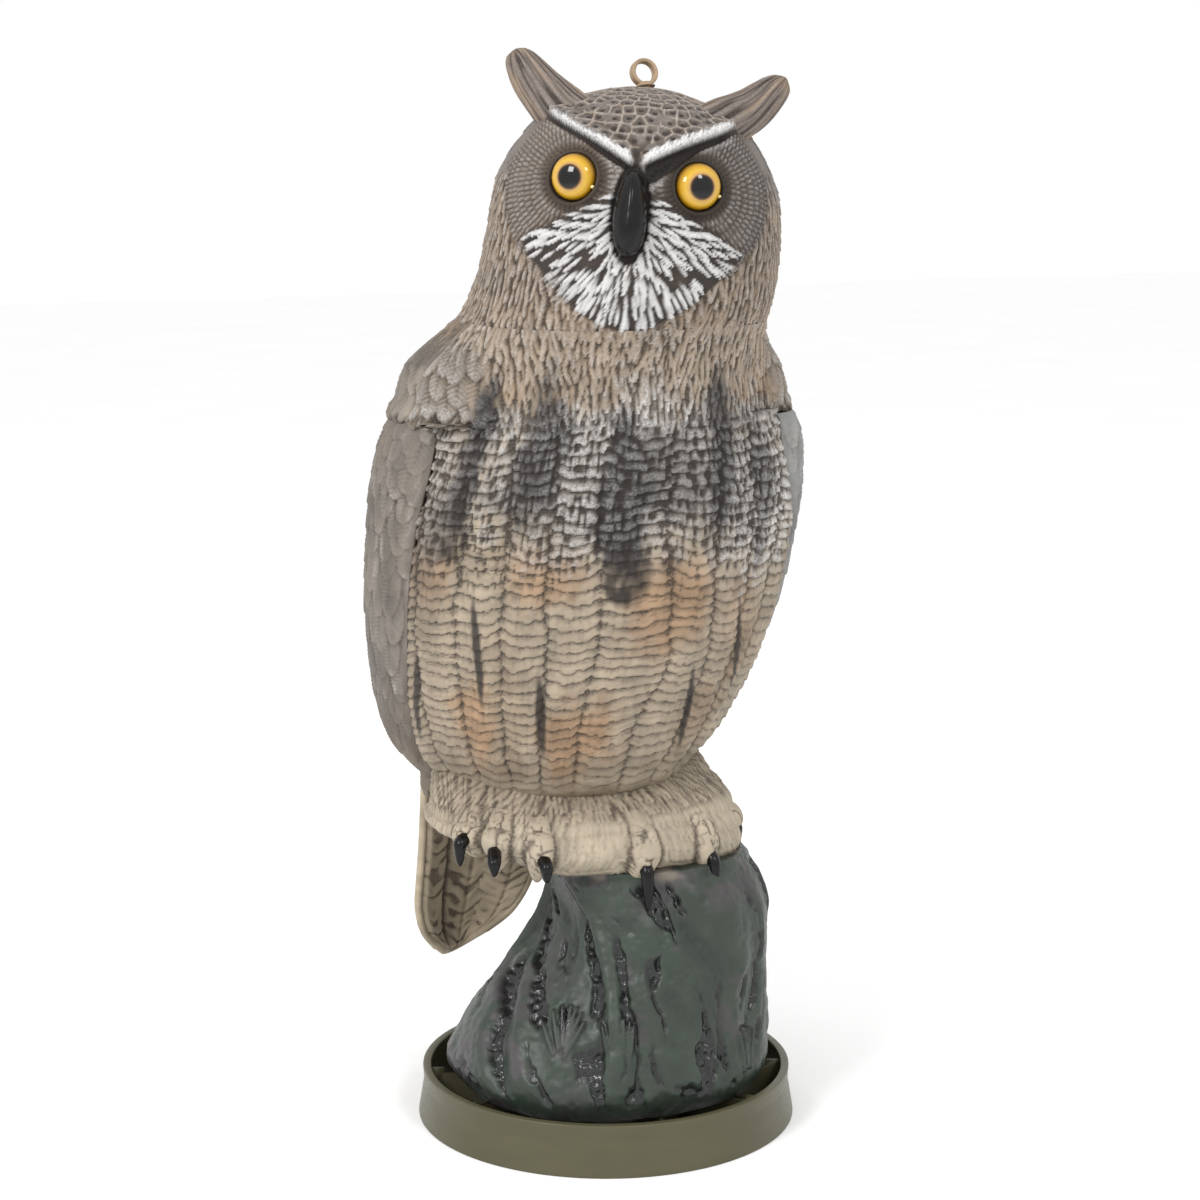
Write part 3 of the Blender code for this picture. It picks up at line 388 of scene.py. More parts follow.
def grain(tree, scale, detail=4.0, stretch=(1, 1, 1)):
    """A noise value over the object's own coordinates, in bumps of about 1/scale metres."""
    place = node(tree, "TexCoord")
    mapping = node(tree, "Mapping")
    mapping.inputs["Scale"].default_value = stretch
    texture = node(tree, "TexNoise")
    texture.inputs["Scale"].default_value = scale
    texture.inputs["Detail"].default_value = detail
    tree.links.new(place.outputs["Object"], mapping.inputs["Vector"])
    tree.links.new(mapping.outputs["Vector"], texture.inputs["Vector"])
    return texture.outputs["Fac"]


def spread(tree, value, low, high, start, end):
    """Value from low..high taken to start..end."""
    made = node(tree, "MapRange")
    for key, number in (("From Min", low), ("From Max", high), ("To Min", start), ("To Max", end)):
        made.inputs[key].default_value = number
    tree.links.new(value, made.inputs["Value"])
    return made.outputs["Result"]


def sums(tree, kind, a, b):
    """Two values added, subtracted or multiplied, held to 0..1. Either may be a socket or a number."""
    made = node(tree, "Math", operation=kind, use_clamp=True)
    for socket, value in zip(made.inputs, (a, b)):
        if isinstance(value, float):
            socket.default_value = value
        else:
            tree.links.new(value, socket)
    return made.outputs[0]


def tint(tree, factor, a, b, blend_type="MIX"):
    """Colour a moved to b by the factor. Either may be a socket or a linear colour."""
    made = node(tree, "Mix", data_type="RGBA", blend_type=blend_type)
    for socket, value in ((made.inputs[0], factor), (made.inputs[6], a), (made.inputs[7], b)):
        if isinstance(value, bpy.types.NodeSocket):
            tree.links.new(value, socket)
        elif isinstance(value, float):
            socket.default_value = value
        else:
            socket.default_value = (*value, 1.0)
    return made.outputs[2]


def bumps(tree, shader, value, distance, strength):
    made = node(tree, "Bump")
    made.inputs["Strength"].default_value = strength
    made.inputs["Distance"].default_value = distance
    tree.links.new(value, made.inputs["Height"])
    tree.links.new(made.outputs["Normal"], shader.inputs["Normal"])


def painted_look(name, hollow_colour, brush, roughness=0.62, shine=0.0):
    """Brushed paint on moulded plastic, from the skin's paint and relief layers, with painted shade in the
    hollows.
    """
    look, tree, shader = new_look(name)
    paint = node(tree, "Attribute", attribute_name="paint")
    relief = node(tree, "Attribute", attribute_name="relief")
    parts = node(tree, "SeparateColor")
    tree.links.new(relief.outputs["Color"], parts.inputs["Color"])
    hollow, ridge, gloss = parts.outputs
    speckle, patch = grain(tree, 900.0), grain(tree, 70.0, 3.0)
    colour = tint(tree, 1.0, paint.outputs["Color"], (0.80, 0.79, 0.78), "MULTIPLY")
    shade = spread(tree, patch, 0.3, 0.7, 0.0, 0.30)
    colour = tint(tree, shade, colour, tuple(c * 0.35 for c in hollow_colour))
    # Painted shade and dark paint in the hollows, from the relief layer, broken by a fine speckle.
    broken = sums(tree, "MULTIPLY", hollow, spread(tree, speckle, 0.30, 0.62, 0.55, 1.15))
    colour = tint(tree, sums(tree, "MULTIPLY", broken, 0.85), colour, hollow_colour)
    dry = sums(tree, "MULTIPLY", ridge, spread(tree, speckle, 0.36, 0.60, 0.35, 1.3))
    colour = tint(tree, dry, colour, brush)
    tree.links.new(colour, shader.inputs["Base Color"])
    rough = sums(tree, "SUBTRACT", spread(tree, speckle, 0.3, 0.7, roughness - 0.08, roughness + 0.10),
                 sums(tree, "MULTIPLY", gloss, 0.40))
    tree.links.new(rough, shader.inputs["Roughness"])
    shader.inputs["Specular IOR Level"].default_value = 0.22 + shine
    bumps(tree, shader, sums(tree, "ADD", grain(tree, 1600.0, 3.0), speckle), 0.00035, 0.45)
    return look


def plastic_look(name, colour, roughness, mottle=0.12, shine=0.35):
    """Moulded plastic with faint flow marks and a fine skin."""
    look, tree, shader = new_look(name)
    flow, skin = grain(tree, 35.0, 3.0, (1, 1, 3)), grain(tree, 400.0)
    shade = spread(tree, flow, 0.3, 0.7, 0.0, 1.0)
    dark = tuple(float(c) * (1 - mottle) for c in colour)
    light = tuple(min(1.0, float(c) * (1 + mottle)) for c in colour)
    tree.links.new(tint(tree, shade, dark, light), shader.inputs["Base Color"])
    rough = spread(tree, skin, 0.3, 0.7, roughness - 0.05, roughness + 0.08)
    tree.links.new(rough, shader.inputs["Roughness"])
    shader.inputs["Specular IOR Level"].default_value = shine
    bumps(tree, shader, skin, 0.0002, 0.25)
    return look


def steel_look(name):
    """Zinc-plated steel: a grey metal with a cloudy, slightly yellow plating."""
    look, tree, shader = new_look(name)
    cloud = spread(tree, grain(tree, 260.0, 5.0), 0.3, 0.7, 0.0, 1.0)
    tree.links.new(tint(tree, cloud, srgb(150, 150, 148), srgb(196, 192, 180)), shader.inputs["Base Color"])
    shader.inputs["Metallic"].default_value = 1.0
    tree.links.new(spread(tree, grain(tree, 900.0), 0.3, 0.7, 0.28, 0.46), shader.inputs["Roughness"])
    bumps(tree, shader, grain(tree, 1500.0), 0.0001, 0.3)
    return look


def eye_look():
    """Amber glass eye: black pupil, pale inner ring, deep orange rim and faint rays, under a clear coat."""
    look, tree, shader = new_look("amber_glass_eye")
    layer = node(tree, "Attribute", attribute_name="relief")
    parts = node(tree, "SeparateColor")
    tree.links.new(layer.outputs["Color"], parts.inputs["Color"])
    ramp = node(tree, "ValToRGB")
    stops = [
        (0.0, srgb(8, 7, 6)), (0.44, srgb(10, 8, 7)), (0.50, srgb(96, 66, 38)),
        (0.56, srgb(184, 146, 84)), (0.70, srgb(204, 164, 56)), (0.86, srgb(182, 138, 22)),
        (0.95, srgb(118, 84, 14)), (1.0, srgb(26, 20, 12)),
    ]
    for k, (place, colour) in enumerate(stops):
        stop = ramp.color_ramp.elements[k] if k < 2 else ramp.color_ramp.elements.new(place)
        stop.position = place
        stop.color = (*colour, 1.0)
    tree.links.new(parts.outputs[0], ramp.inputs["Fac"])
    rays = spread(tree, grain(tree, 700.0, 2.0), 0.3, 0.7, 0.0, 0.12)
    streaked = tint(tree, rays, ramp.outputs["Color"], srgb(170, 104, 20), "MULTIPLY")
    tree.links.new(streaked, shader.inputs["Base Color"])
    shader.inputs["Roughness"].default_value = 0.10
    shader.inputs["Specular IOR Level"].default_value = 0.30
    shader.inputs["Coat Weight"].default_value = 0.25
    shader.inputs["Coat Roughness"].default_value = 0.02
    return look


# ---------------------------------------------------------------- torso
# From one row of breast feathers to the next, and the radius at which angles are unrolled into distances.
ROW, TORSO_RADIUS = 0.0061, 0.088
STROKE = 0.0100  # the usual length of a neck feather
# The grooves between the breast's lobes, in degrees.
FLUTES = (-94, -72, -57, -41, -27, -12, 6, 21, 35, 48, 63, 84)
BREAST_END, BACK_START = radians(86), radians(81)
# Airbrushed patches: angle and height of the middle, half angle, half height, lean, colour and strength.
# Angles are in degrees, and the lean is in degrees per metre.
PATCHES = [
    (-66, 0.318, 10, 0.028, 0, PEACH, 0.9),
    (-27, 0.312, 13, 0.018, 0, PEACH, 0.8),
    (8, 0.295, 14, 0.030, 0, PEACH, 0.85),
    (34, 0.300, 8, 0.034, 0, PEACH, 0.5),
    (-51, 0.229, 9, 0.026, 0, PEACH, 0.9),
    (-14, 0.222, 14, 0.026, 0, PEACH, 0.9),
    (41, 0.262, 9, 0.030, 0, TAN, 0.6),
    (28, 0.228, 12, 0.022, 0, TAN, 0.6),
    (-8, 0.364, 54, 0.044, 0, SILVER, 0.75),
    (38, 0.350, 26, 0.050, 0, SILVER, 0.75),
    (-20, 0.358, 40, 0.034, 0, SOOT, 0.50),
    (22, 0.358, 30, 0.040, 0, SOOT, 0.50),
    (-57, 0.366, 5.5, 0.044, 45, SOOT, 1.0),
    (-62, 0.336, 9.0, 0.020, 0, SOOT, 0.9),
    (-33, 0.378, 9, 0.034, 0, SOOT, 0.9),
    (-36, 0.352, 6, 0.024, 0, SOOT, 0.7),
    (-7, 0.345, 7.0, 0.050, -30, SOOT, 1.0),
    (-5, 0.314, 6.5, 0.018, 0, SOOT, 0.55),
    (22, 0.372, 5.6, 0.048, 30, SOOT, 0.95),
    (40, 0.346, 4.6, 0.040, 0, SOOT, 0.8),
    (-48, 0.270, 1.6, 0.029, -50, SOOT, 0.9),
    (-73, 0.243, 1.7, 0.030, 90, SOOT, 0.85),
    (-26, 0.235, 1.7, 0.026, -60, SOOT, 0.9),
    (21, 0.234, 1.7, 0.027, -140, SOOT, 0.9),
    (38, 0.265, 1.6, 0.029, -200, SOOT, 0.85),
]


def shoulder(angle, height):
    """How far the overhanging shoulder stands out of the torso's plain section."""
    along = np.abs((angle + pi) % (2 * pi) - pi)
    window = smooth(along, radians(45), radians(85)) * smooth(along, radians(168), radians(140))
    rise = np.clip((height - SHELF + 0.0010) / 0.0008, 0, 1)
    return SHOULDER * window * rise * smooth(height, 0.4380, 0.4020)


def unrolled(angle, height):
    """The torso's surface laid flat, for fields that follow it round."""
    return np.stack([angle * TORSO_RADIUS, height * 0, height], -1)


def torso_skin(start, end, count, rows):
    """A grid over the torso, closed inwards at the belly, with its angles and heights."""
    heights = np.concatenate([np.linspace(0.1765, SHELF - 0.0022, rows[0]),
                              np.linspace(SHELF - 0.0010, SHELF + 0.0004, 4),
                              np.linspace(SHELF + 0.0012, HEAD_SEAM + 0.0016, rows[1])])
    angle, height = np.meshgrid(np.linspace(start, end, count), heights)
    lip = np.exp(-(((height - SHELF - 0.0014) / 0.0028) ** 2)) * (height > SHELF - 0.0005)
    lip = lip * shoulder(angle, SHELF + 0.0100) / SHOULDER
    front = wing_span(np.clip((height - WING_LOW) / (WING_TOP - WING_LOW), 0, 1), np.sign(angle))[0]
    before_wing = front - np.abs((angle + pi) % (2 * pi) - pi)
    swell = 0.0052 * smooth(before_wing, 0.42, 0.06)
    rising = shoulder(angle, SHELF + 0.0012) * smooth(height, SHELF - 0.060, SHELF) ** 1.5
    swell = np.maximum(swell, rising) * smooth(before_wing, -0.006, 0.012) * (height < SHELF)
    crease = 0.0110 * smooth(height, 0.200, 0.178) * smooth(np.abs(angle), 1.45, 0.95)
    points = on_skin(TORSO, angle, height, shoulder(angle, height) + 0.0026 * lip + swell + crease)
    scallop = np.abs(np.sin(angle * 0.1 * pi / 0.0125 + 0.8 * noise(points, 0.02, 18)))
    points[..., 2] -= lip * (0.0022 + 0.0036 * scallop + 0.0010 * noise(points, 0.007, 19))
    belly = points[0].mean(axis=0) - (0, 0, 0.0030)
    under = [belly + (points[0] - belly) * k for k in (0.02, 0.4, 0.75, 0.93)]
    points = np.concatenate([np.stack(under), points])
    angle, height = np.vstack([angle[:4], angle]), np.vstack([height[:1]] * 4 + [height])
    return Skin(points, CREAM), angle, height


def breast_rows(skin, angle, height):
    """The breast's lobes and their rows of scalloped feathers with finely notched lips, painted shadow under
    each lip.
    """
    spot = unrolled(angle, height)
    turn = np.degrees(angle) + 2.6 * noise(spot, 0.055, 2) + 1.2 * noise(spot, 0.014, 9)
    lobe = np.interp(turn, FLUTES, range(len(FLUTES)))
    number = np.floor(lobe)
    across = lobe - number
    crown = (4 * across * (1 - across)) ** 0.6
    fade = smooth(height, 0.402, 0.376) * smooth(height, 0.180, 0.200)
    sideways = smooth(np.abs(turn), 90, 80)
    strand = noise(spot, np.array((0.0013, 1, 0.0050)), 6)
    jag = noise(spot, np.array((0.0030, 1, 0.009)), 10)
    sag = 0.0028 * crown + 0.0026 * noise(spot, 0.020, 3) + 0.0011 * jag + 0.0006 * strand
    phase = (height + sag) / ROW + chance(number, 7) * 0.9 + 0.35 * noise(spot, 0.040, 5)
    q = phase - np.floor(phase)
    second = phase * 2 + 0.7 * noise(spot, 0.013, 12)
    r = second - np.floor(second)
    split = smooth(noise(spot, np.array((0.016, 1, 0.007)), 13), -0.15, 0.35)
    fine = smooth(height, 0.292, 0.335)
    lip = (1 - q) ** 1.1 * smooth(q, -0.01, 0.10) + 0.45 * split * (1 - r) * smooth(r, -0.01, 0.15)
    strength = fade * sideways * (0.75 + 0.25 * smooth(height, 0.195, 0.240))
    shape = lip * (0.0012 + 0.0004 * fine + 0.0005 * strand * (0.5 + fine))
    shape = shape - 0.0009 * fine * smooth(strand, 0.1, -0.6)
    skin.height += strength * shape + 0.0019 * crown * fade * sideways - 0.0012 * sideways * fade
    patchy = 0.55 + 0.45 * noise(spot, np.array((0.006, 1, 0.004)), 14)
    # Painted shadow under each row's lip and under the lips of the split rows, broken in patches.
    shadow_under_lips = 0.95 * patchy * smooth(q, 0.84, 0.98) + 0.5 * patchy * split * smooth(r, 0.86, 0.98)
    skin.dark_paint_and_shade += strength * shadow_under_lips
    skin.dark_paint_and_shade += strength * (0.25 + 0.80 * fine) * smooth(strand, -0.02, -0.50) * smooth(q, 0.0, 0.6)
    # Painted shade in the grooves between the lobes, over the upper breast.
    skin.dark_paint_and_shade += strength * 0.25 * (1 - crown) * smooth(height, 0.27, 0.33)
    skin.tone += 0.10 * noise(spot, 0.012, 8) + 0.08 * noise(spot, np.array((0.004, 1, 0.002)), 15)


def neck_strokes(skin, where, seed, lift=0.0016):
    """Narrow ragged feathers that hang down the neck, over a dark ground."""
    before = skin.height.copy()
    for k, place in enumerate(skin.places(0.0050, 0.0034, where, seed)):
        wobble = ((chance(k, seed) - 0.5) * 0.7, 0, -1)
        length = STROKE * (0.6 + 0.7 * chance(k, seed, 2))
        width = 0.0020 + 0.0014 * chance(k, seed, 3)
        skin.feather(place, wobble, length, width, lift * (0.5 + 0.8 * chance(k, seed, 4)), 0.2, 0.3,
                     tone=0.30 * (chance(k, seed, 6) - 0.5))
    bare = smooth(skin.height - before, 0.0007, 0.0001) * blur(where.astype(float), 3)
    skin.dark_paint_and_shade += bare * smooth(noise(skin.points, 0.006, seed), -0.9, -0.1)


def shoulder_scales(skin, where, seed):
    """Small rounded feathers over the shoulder, like those at the top of the wing below."""
    for k, place in enumerate(skin.places(0.0105, 0.0115, where, seed)):
        size = 0.85 + 0.3 * chance(k, seed)
        skin.feather(place, (0, 0.2, -1), 0.021 * size, 0.0145 * size, 0.0021, 0.6, 0.15, 8,
                     0.26 * (chance(k, seed, 2) - 0.5))


def torso_paint(skin, angle, height):
    """Cream below, darker as painted shade low on the belly, tan on the neck, and the airbrushed patches and
    bars.
    """
    turn = np.degrees(angle)
    spot = unrolled(angle, height)
    ragged = noise(spot, 0.010, 21) * 0.30 + noise(spot, np.array((0.002, 1, 0.006)), 22) * 0.26
    skin.paint(TAN, 0.75 * smooth(height, 0.372, 0.402))
    # Painted shade: the cream is darker towards the bottom of the belly, which faces away from the light
    # above.
    skin.paint(CREAM * 0.80, smooth(height, 0.225, 0.190))
    skin.paint(TAN, 0.30 * smooth(noise(spot, 0.030, 23), 0.1, 0.7))
    for middle, level, half_turn, half_rise, lean, target, strength in PATCHES:
        aside = (turn - middle - lean * (height - level)) / half_turn
        reach = np.sqrt(aside**2 + ((height - level) / half_rise) ** 2)
        sharp = 0.35 if target is SOOT else 0.6
        mask = smooth(reach + ragged * (0.7 if half_turn > 2 else 0.3), 1.0 + sharp * 0.5, 1.0 - sharp)
        skin.paint(target, strength * mask)
        if target is SILVER:
            skin.dry_brush(0.85 * mask)
        if target is SOOT:
            skin.brush *= 1 - 0.50 * mask
    side = smooth(np.abs(turn) + 6 * ragged, 54, 68)
    beside_wing = 0.8 * side * smooth(height, 0.250, 0.330) * smooth(height, 0.430, 0.418)
    skin.paint(WING_GREY, beside_wing)
    skin.dry_brush(0.30 * smooth(height, 0.39, 0.42))
    skin.dry_brush(0.35 * side * smooth(height, 0.30, 0.36))


def build_torso():
    """Breast and back: rows of ripples in front, laid feathers behind, strokes round the neck."""
    skin, angle, height = torso_skin(-BREAST_END, BREAST_END, 292, (272, 56))
    breast_rows(skin, angle, height)
    aside = np.abs(np.degrees(angle))
    neck_strokes(skin, (height > 0.383) & (height < 0.4345) & ((aside < 60) | (height > 0.418)), 31)
    shoulder_scales(skin, (aside > 55) & (height > 0.3875) & (height < 0.424), 33)
    torso_paint(skin, angle, height)
    skin.height *= smooth(np.abs(angle), BREAST_END + 0.01, BREAST_END - 0.05)
    skin.build("breast_plumage", LOOKS["breast"], "feather_tan", "owl", ["breast_shell"], 0.0009, 5)

    skin, angle, height = torso_skin(BACK_START, 2 * pi - BACK_START, 236, (190, 42))
    turn = np.degrees(np.abs((angle + pi) % (2 * pi) - pi))
    under_wing = smooth(turn, 150, 128) * smooth(height, 0.388, 0.380)
    for k, place in enumerate(skin.places(0.0125, 0.0150, (height < 0.425) & (under_wing < 0.5), 41)):
        size = 0.8 + 0.35 * chance(k, 42)
        tone = 0.24 * (chance(k, 43) - 0.5)
        skin.feather(place, (0, 0, -1), 0.027 * size, 0.0175, 0.0022, 0.62, 0.15, 9, tone)
    neck_strokes(skin, height > 0.407, 45, 0.0014)
    edge = np.minimum(angle - BACK_START, 2 * pi - BACK_START - angle)
    skin.height -= 0.0012 * smooth(edge, 0.09, 0.04)
    brown = smooth(turn, 96, 130)
    skin.paint(WING_GREY, smooth(turn, 76, 92) * 0.9)
    skin.paint(WING_BROWN, brown * 0.8 * smooth(height, 0.20, 0.26))
    skin.paint(TAN, 0.8 * smooth(height, 0.405, 0.425))
    skin.paint(CREAM, smooth(height, 0.235, 0.20))
    skin.brush += 0.65 * smooth(height, 0.22, 0.28) * (0.5 + 0.5 * noise(skin.points, 0.02, 46))
    skin.paint(CREAM, 0.35 * smooth(skin.outline, 0.5, 1))
    skin.build("back_plumage", LOOKS["wing"], "feather_tan", "owl", ["back_shell"], 0.0010, 4)


# ---------------------------------------------------------------- head
BEAK_WIDTH, BEAK_LENGTH, BEAK_BULGE = 0.0082, 0.0208, 0.0105  # half width, half length and depth


def aimed(place, direction):
    """A frame at place whose Z points along direction, with its X level."""
    z = Vector(direction).normalized()
    x = Vector((0, 0, 1)).cross(z).normalized()
    return Matrix.Translation(place) @ Matrix((x, z.cross(x), z)).transposed().to_4x4()


HEAD_TURN = Matrix.Rotation(HEAD_YAW, 4, "Z")
HEAD_FRAME = Matrix.Translation(HEAD_CENTRE) @ HEAD_TURN @ Matrix.Rotation(HEAD_ROLL, 4, "Y")


def head_skin():
    """A grid over the head, from just below its seam to the crown, finest over the face."""
    climb = np.linspace(-0.0555, 0.061, 400)
    rim = columns_at(HEAD, climb)[:, 2]
    profile = np.concatenate([[0], np.cumsum(np.hypot(np.diff(rim), np.diff(climb)))])
    h = np.interp(np.linspace(0, profile[-1], 196), profile, climb)
    front, rear = radians(112), radians(180)
    angles = np.concatenate([np.linspace(-front, front, 386), np.linspace(front, 2 * rear - front, 92)[1:-1]])
    angle, h = np.meshgrid(angles, h)
    weight = smooth(h, -0.047, -0.007)[..., None]
    neck_z = HEAD_SEAM + 0.75 * (h + 0.047)
    neck = on_skin(TORSO, angle + HEAD_YAW, np.minimum(0.460, neck_z))
    neck[..., 2] = neck_z
    top = moved(HEAD_FRAME, on_skin(HEAD, angle, h))
    points = neck * (1 - weight) + top * weight
    pole = np.array(HEAD_FRAME @ Vector((0, 0.003, HEAD_TOP)))
    to_pole = pole - points[-1]
    crown = [points[-1] + to_pole * k + (0, 0, 0.0005 * sin(pi * k)) for k in np.linspace(0, 1, 22)[1:]]
    points = np.concatenate([points, np.stack(crown)])
    skin = Skin(points, CROWN, wrap=True, pole=True)
    local = moved(HEAD_FRAME.inverted(), points)
    return skin, local * 1000  # local coordinates in millimetres


def brow_line(x):
    """Height of the lower edge of the brow, in millimetres in the head's frame."""
    run = np.abs(x)
    return 26.2 + 0.465 * (run - 3) + 1.0 * np.sin(pi * np.clip((run - 3) / 40, 0, 1))


def muzzle_mask(x, z):
    """1 inside the white bristles round the beak."""
    run = np.abs(x)
    top = 15.0 - 0.60 * np.maximum(run - 6, 0)
    low = -54.0 + 34.0 * (run / 50) ** 1.8
    return smooth(z - top, 1.0, -1.5) * smooth(z - low, -2.0, 2.0) * smooth(run, 56, 52)


def cell_lines(points, where, pitch, skin, seed):
    """Distances to the nearest seed, and how much farther the second nearest is, of a net of cells."""
    seeds = np.array([skin.points[p] for p in skin.places(pitch, pitch, where, seed)])
    first, gap = np.full(where.shape, 1.0), np.full(where.shape, 1.0)
    inside = points[where]
    distance = np.sort(np.linalg.norm(inside[:, None] - seeds[None], axis=-1), axis=1)
    first[where] = distance[:, 0]
    gap[where] = distance[:, 1] - distance[:, 0]
    return first, gap


def face_disc(skin, local, side):
    """One eye's disc of radiating dashes in rings, its lid, the socket that holds the eye, and painted shade
    round it.
    """
    x, y, z = np.moveaxis(local, -1, 0)
    eye = np.array((side * EYE_PLACE[0] * 1000, EYE_FRONT * 1000, EYE_PLACE[1] * 1000))
    out = np.array((side, EYE_OUT, 0.0)) / np.hypot(1, EYE_OUT)
    u, v = (local - eye) @ out, z - eye[2]
    reach = np.linalg.norm(local - eye, axis=-1)
    turn = np.arctan2(v, u)
    ring = (reach - 13.4) / 3.9 + 0.16 * np.sin(3 * turn) + 0.22 * noise(local, 9.0, 13)
    k = np.floor(ring)
    q = ring - k
    count = np.maximum(8, np.round(2 * pi * (13 + 3.9 * (k + 0.5)) / 2.5))
    beat = 0.5 + 0.5 * np.cos(count * turn + 2 * pi * chance(k, 11) + 1.2 * noise(local, 6.0, 12))
    own = smooth(x * side, 1.5, 5.0)
    under_brow = smooth(z - brow_line(x), -1.0, -3.5)
    area = own * under_brow * smooth(reach, 13.2, 14.6) * smooth(reach, 47, 42) * (1 - muzzle_mask(x, z))
    dash = area * np.sqrt(np.clip(np.sin(pi * q), 0, 1)) * beat**0.8
    dash = dash * (0.75 + 0.35 * noise(local, 3.0, 14))
    skin.height += 0.00085 * dash - 0.0014 * area * smooth(reach, 36, 24)
    skin.dark_paint_and_shade += area * 0.75 * smooth(beat, 0.42, 0.10) * smooth(np.abs(q - 0.5), 0.48, 0.30)
    lid = own * np.exp(-(((reach - 13.2) / 1.3) ** 2))
    skin.height += 0.0011 * lid
    skin.height -= 0.0080 * own * smooth(reach, 12.2, 11.2) * smooth(-y, 40, 45)
    # Painted shade in the socket, round the eye's dome.
    skin.dark_paint_and_shade += 0.95 * own * smooth(reach, 13.1, 12.2)
    # Painted shade: the owl's left disc, turned away from the key light, gets the darker DISC_SHADE brown.
    shade = DISC if side < 0 else DISC_SHADE
    skin.paint(shade, own * under_brow * smooth(reach, 50, 44))
    # Painted shade on the disc just round the eye.
    skin.paint(shade * 0.62, own * smooth(reach, 16.0, 13.5))
    return own * smooth(reach, 46, 42)


def brow_and_hollow(skin, local):
    """The V of the brows, overhanging a black hollow on each side of the beak's root."""
    x, y, z = np.moveaxis(local, -1, 0)
    run = np.abs(x)
    above = (z - brow_line(x)) * 0.887
    window = smooth(run, 0.5, 5.0) * smooth(run, 50, 43) * smooth(-y, 0, 12)
    skin.height += 0.0034 * window * smooth(above, -1.4, 0.4) * smooth(above, 10, 1.5)
    thick = np.where(x > 0, 3.0 + 6.5 * smooth(run, 36, 8), 1.6 + 1.8 * smooth(run, 34, 10))
    pit = smooth(run, 2.5, 5.5) * smooth(run, 46, 40) * smooth(-y, 5, 18)
    pit = pit * smooth(above, -thick - 1.5, -thick + 1.5) * smooth(above, 0.8, -1.0)
    skin.height -= 0.0024 * pit
    skin.paint(NEAR_BLACK, pit)
    skin.dark_paint_and_shade *= 1 - pit
    band = np.where(x > 0, 2.2 + 1.6 * smooth(run, 32, 12), 1.2 + 1.4 * smooth(run, 30, 12))
    ragged = above + 1.0 * noise(local, 2.2, 15)
    white = window * smooth(above, -0.8, 0.4) * smooth(ragged, band + 1.2, band - 0.8)
    white = white * smooth(run, 46, 40)
    skin.paint(WHITE, white)
    skin.dry_brush(white)
    return white, pit


def crown_cells(skin, where):
    """A net of raised lines round small pitted cells, over the forehead and crown."""
    first, gap = cell_lines(skin.points, where, 0.0066, skin, 51)
    line = smooth(gap, 0.0015, 0.0003) * smooth(noise(skin.points, 0.005, 52), -0.75, -0.1)
    skin.height += np.where(where, 0.0008 * line - 0.0007 * smooth(first, 0.0016, 0.0005), 0)
    skin.paint(TAN * 1.1, 0.65 * line * where)
    skin.dark_paint_and_shade += where * 0.75 * smooth(first, 0.0022, 0.0008)


def bristles(skin, local, mask):
    """White bristles that sweep outwards and down from the beak's root, sparser under the moustache."""
    inverse = np.array(HEAD_FRAME)[:3, :3]
    for k, place in enumerate(skin.places(0.0046, 0.0027, mask > 0.35, 61)):
        x, _, z = local[place]
        sparse = 0.97 * moustache_gap(x, z) + 0.12 + 0.34 * smooth(z, -26, -46)
        if chance(k, 66) < sparse:
            continue
        down = min(0.75 * z - 4, -2) - 5 * chance(k, 62)
        aim = inverse @ np.array((x + 9 * (chance(k, 67) - 0.5), 0.0, down))
        big = 0.8 + 0.5 * chance(k, 63) + 0.20 * smooth(z, -20, -45)
        lift = 0.0017 * (0.55 + 0.7 * chance(k, 64))
        tone = 0.26 * (chance(k, 65) - 0.6)
        skin.feather(place, aim, 0.0088 * big, 0.0020 * big, lift, 0.1, 0.3, tone=tone)


def brow_bristles(skin, local, where):
    """Short white bristles that rise along each brow."""
    for k, place in enumerate(skin.places(0.0034, 0.0021, where, 81)):
        side = np.sign(local[place][0])
        aim = np.array(HEAD_FRAME)[:3, :3] @ np.array((side * 0.35, 0, 1.0))
        skin.feather(place, aim, 0.0056, 0.0015, 0.0010 * (0.6 + 0.7 * chance(k, 82)), 0.1, 0.4)


def moustache_gap(x, z):
    """1 in the dark gap under each half of the moustache."""
    run = np.abs(x)
    level = np.where(x > 0, -27.0, -21.0) - 2.5 * np.sin(run * 0.35)
    return smooth(np.abs(z - level), 4.4, 2.0) * smooth(run, 9, 16) * np.where(x > 0, 1.0, 0.6)


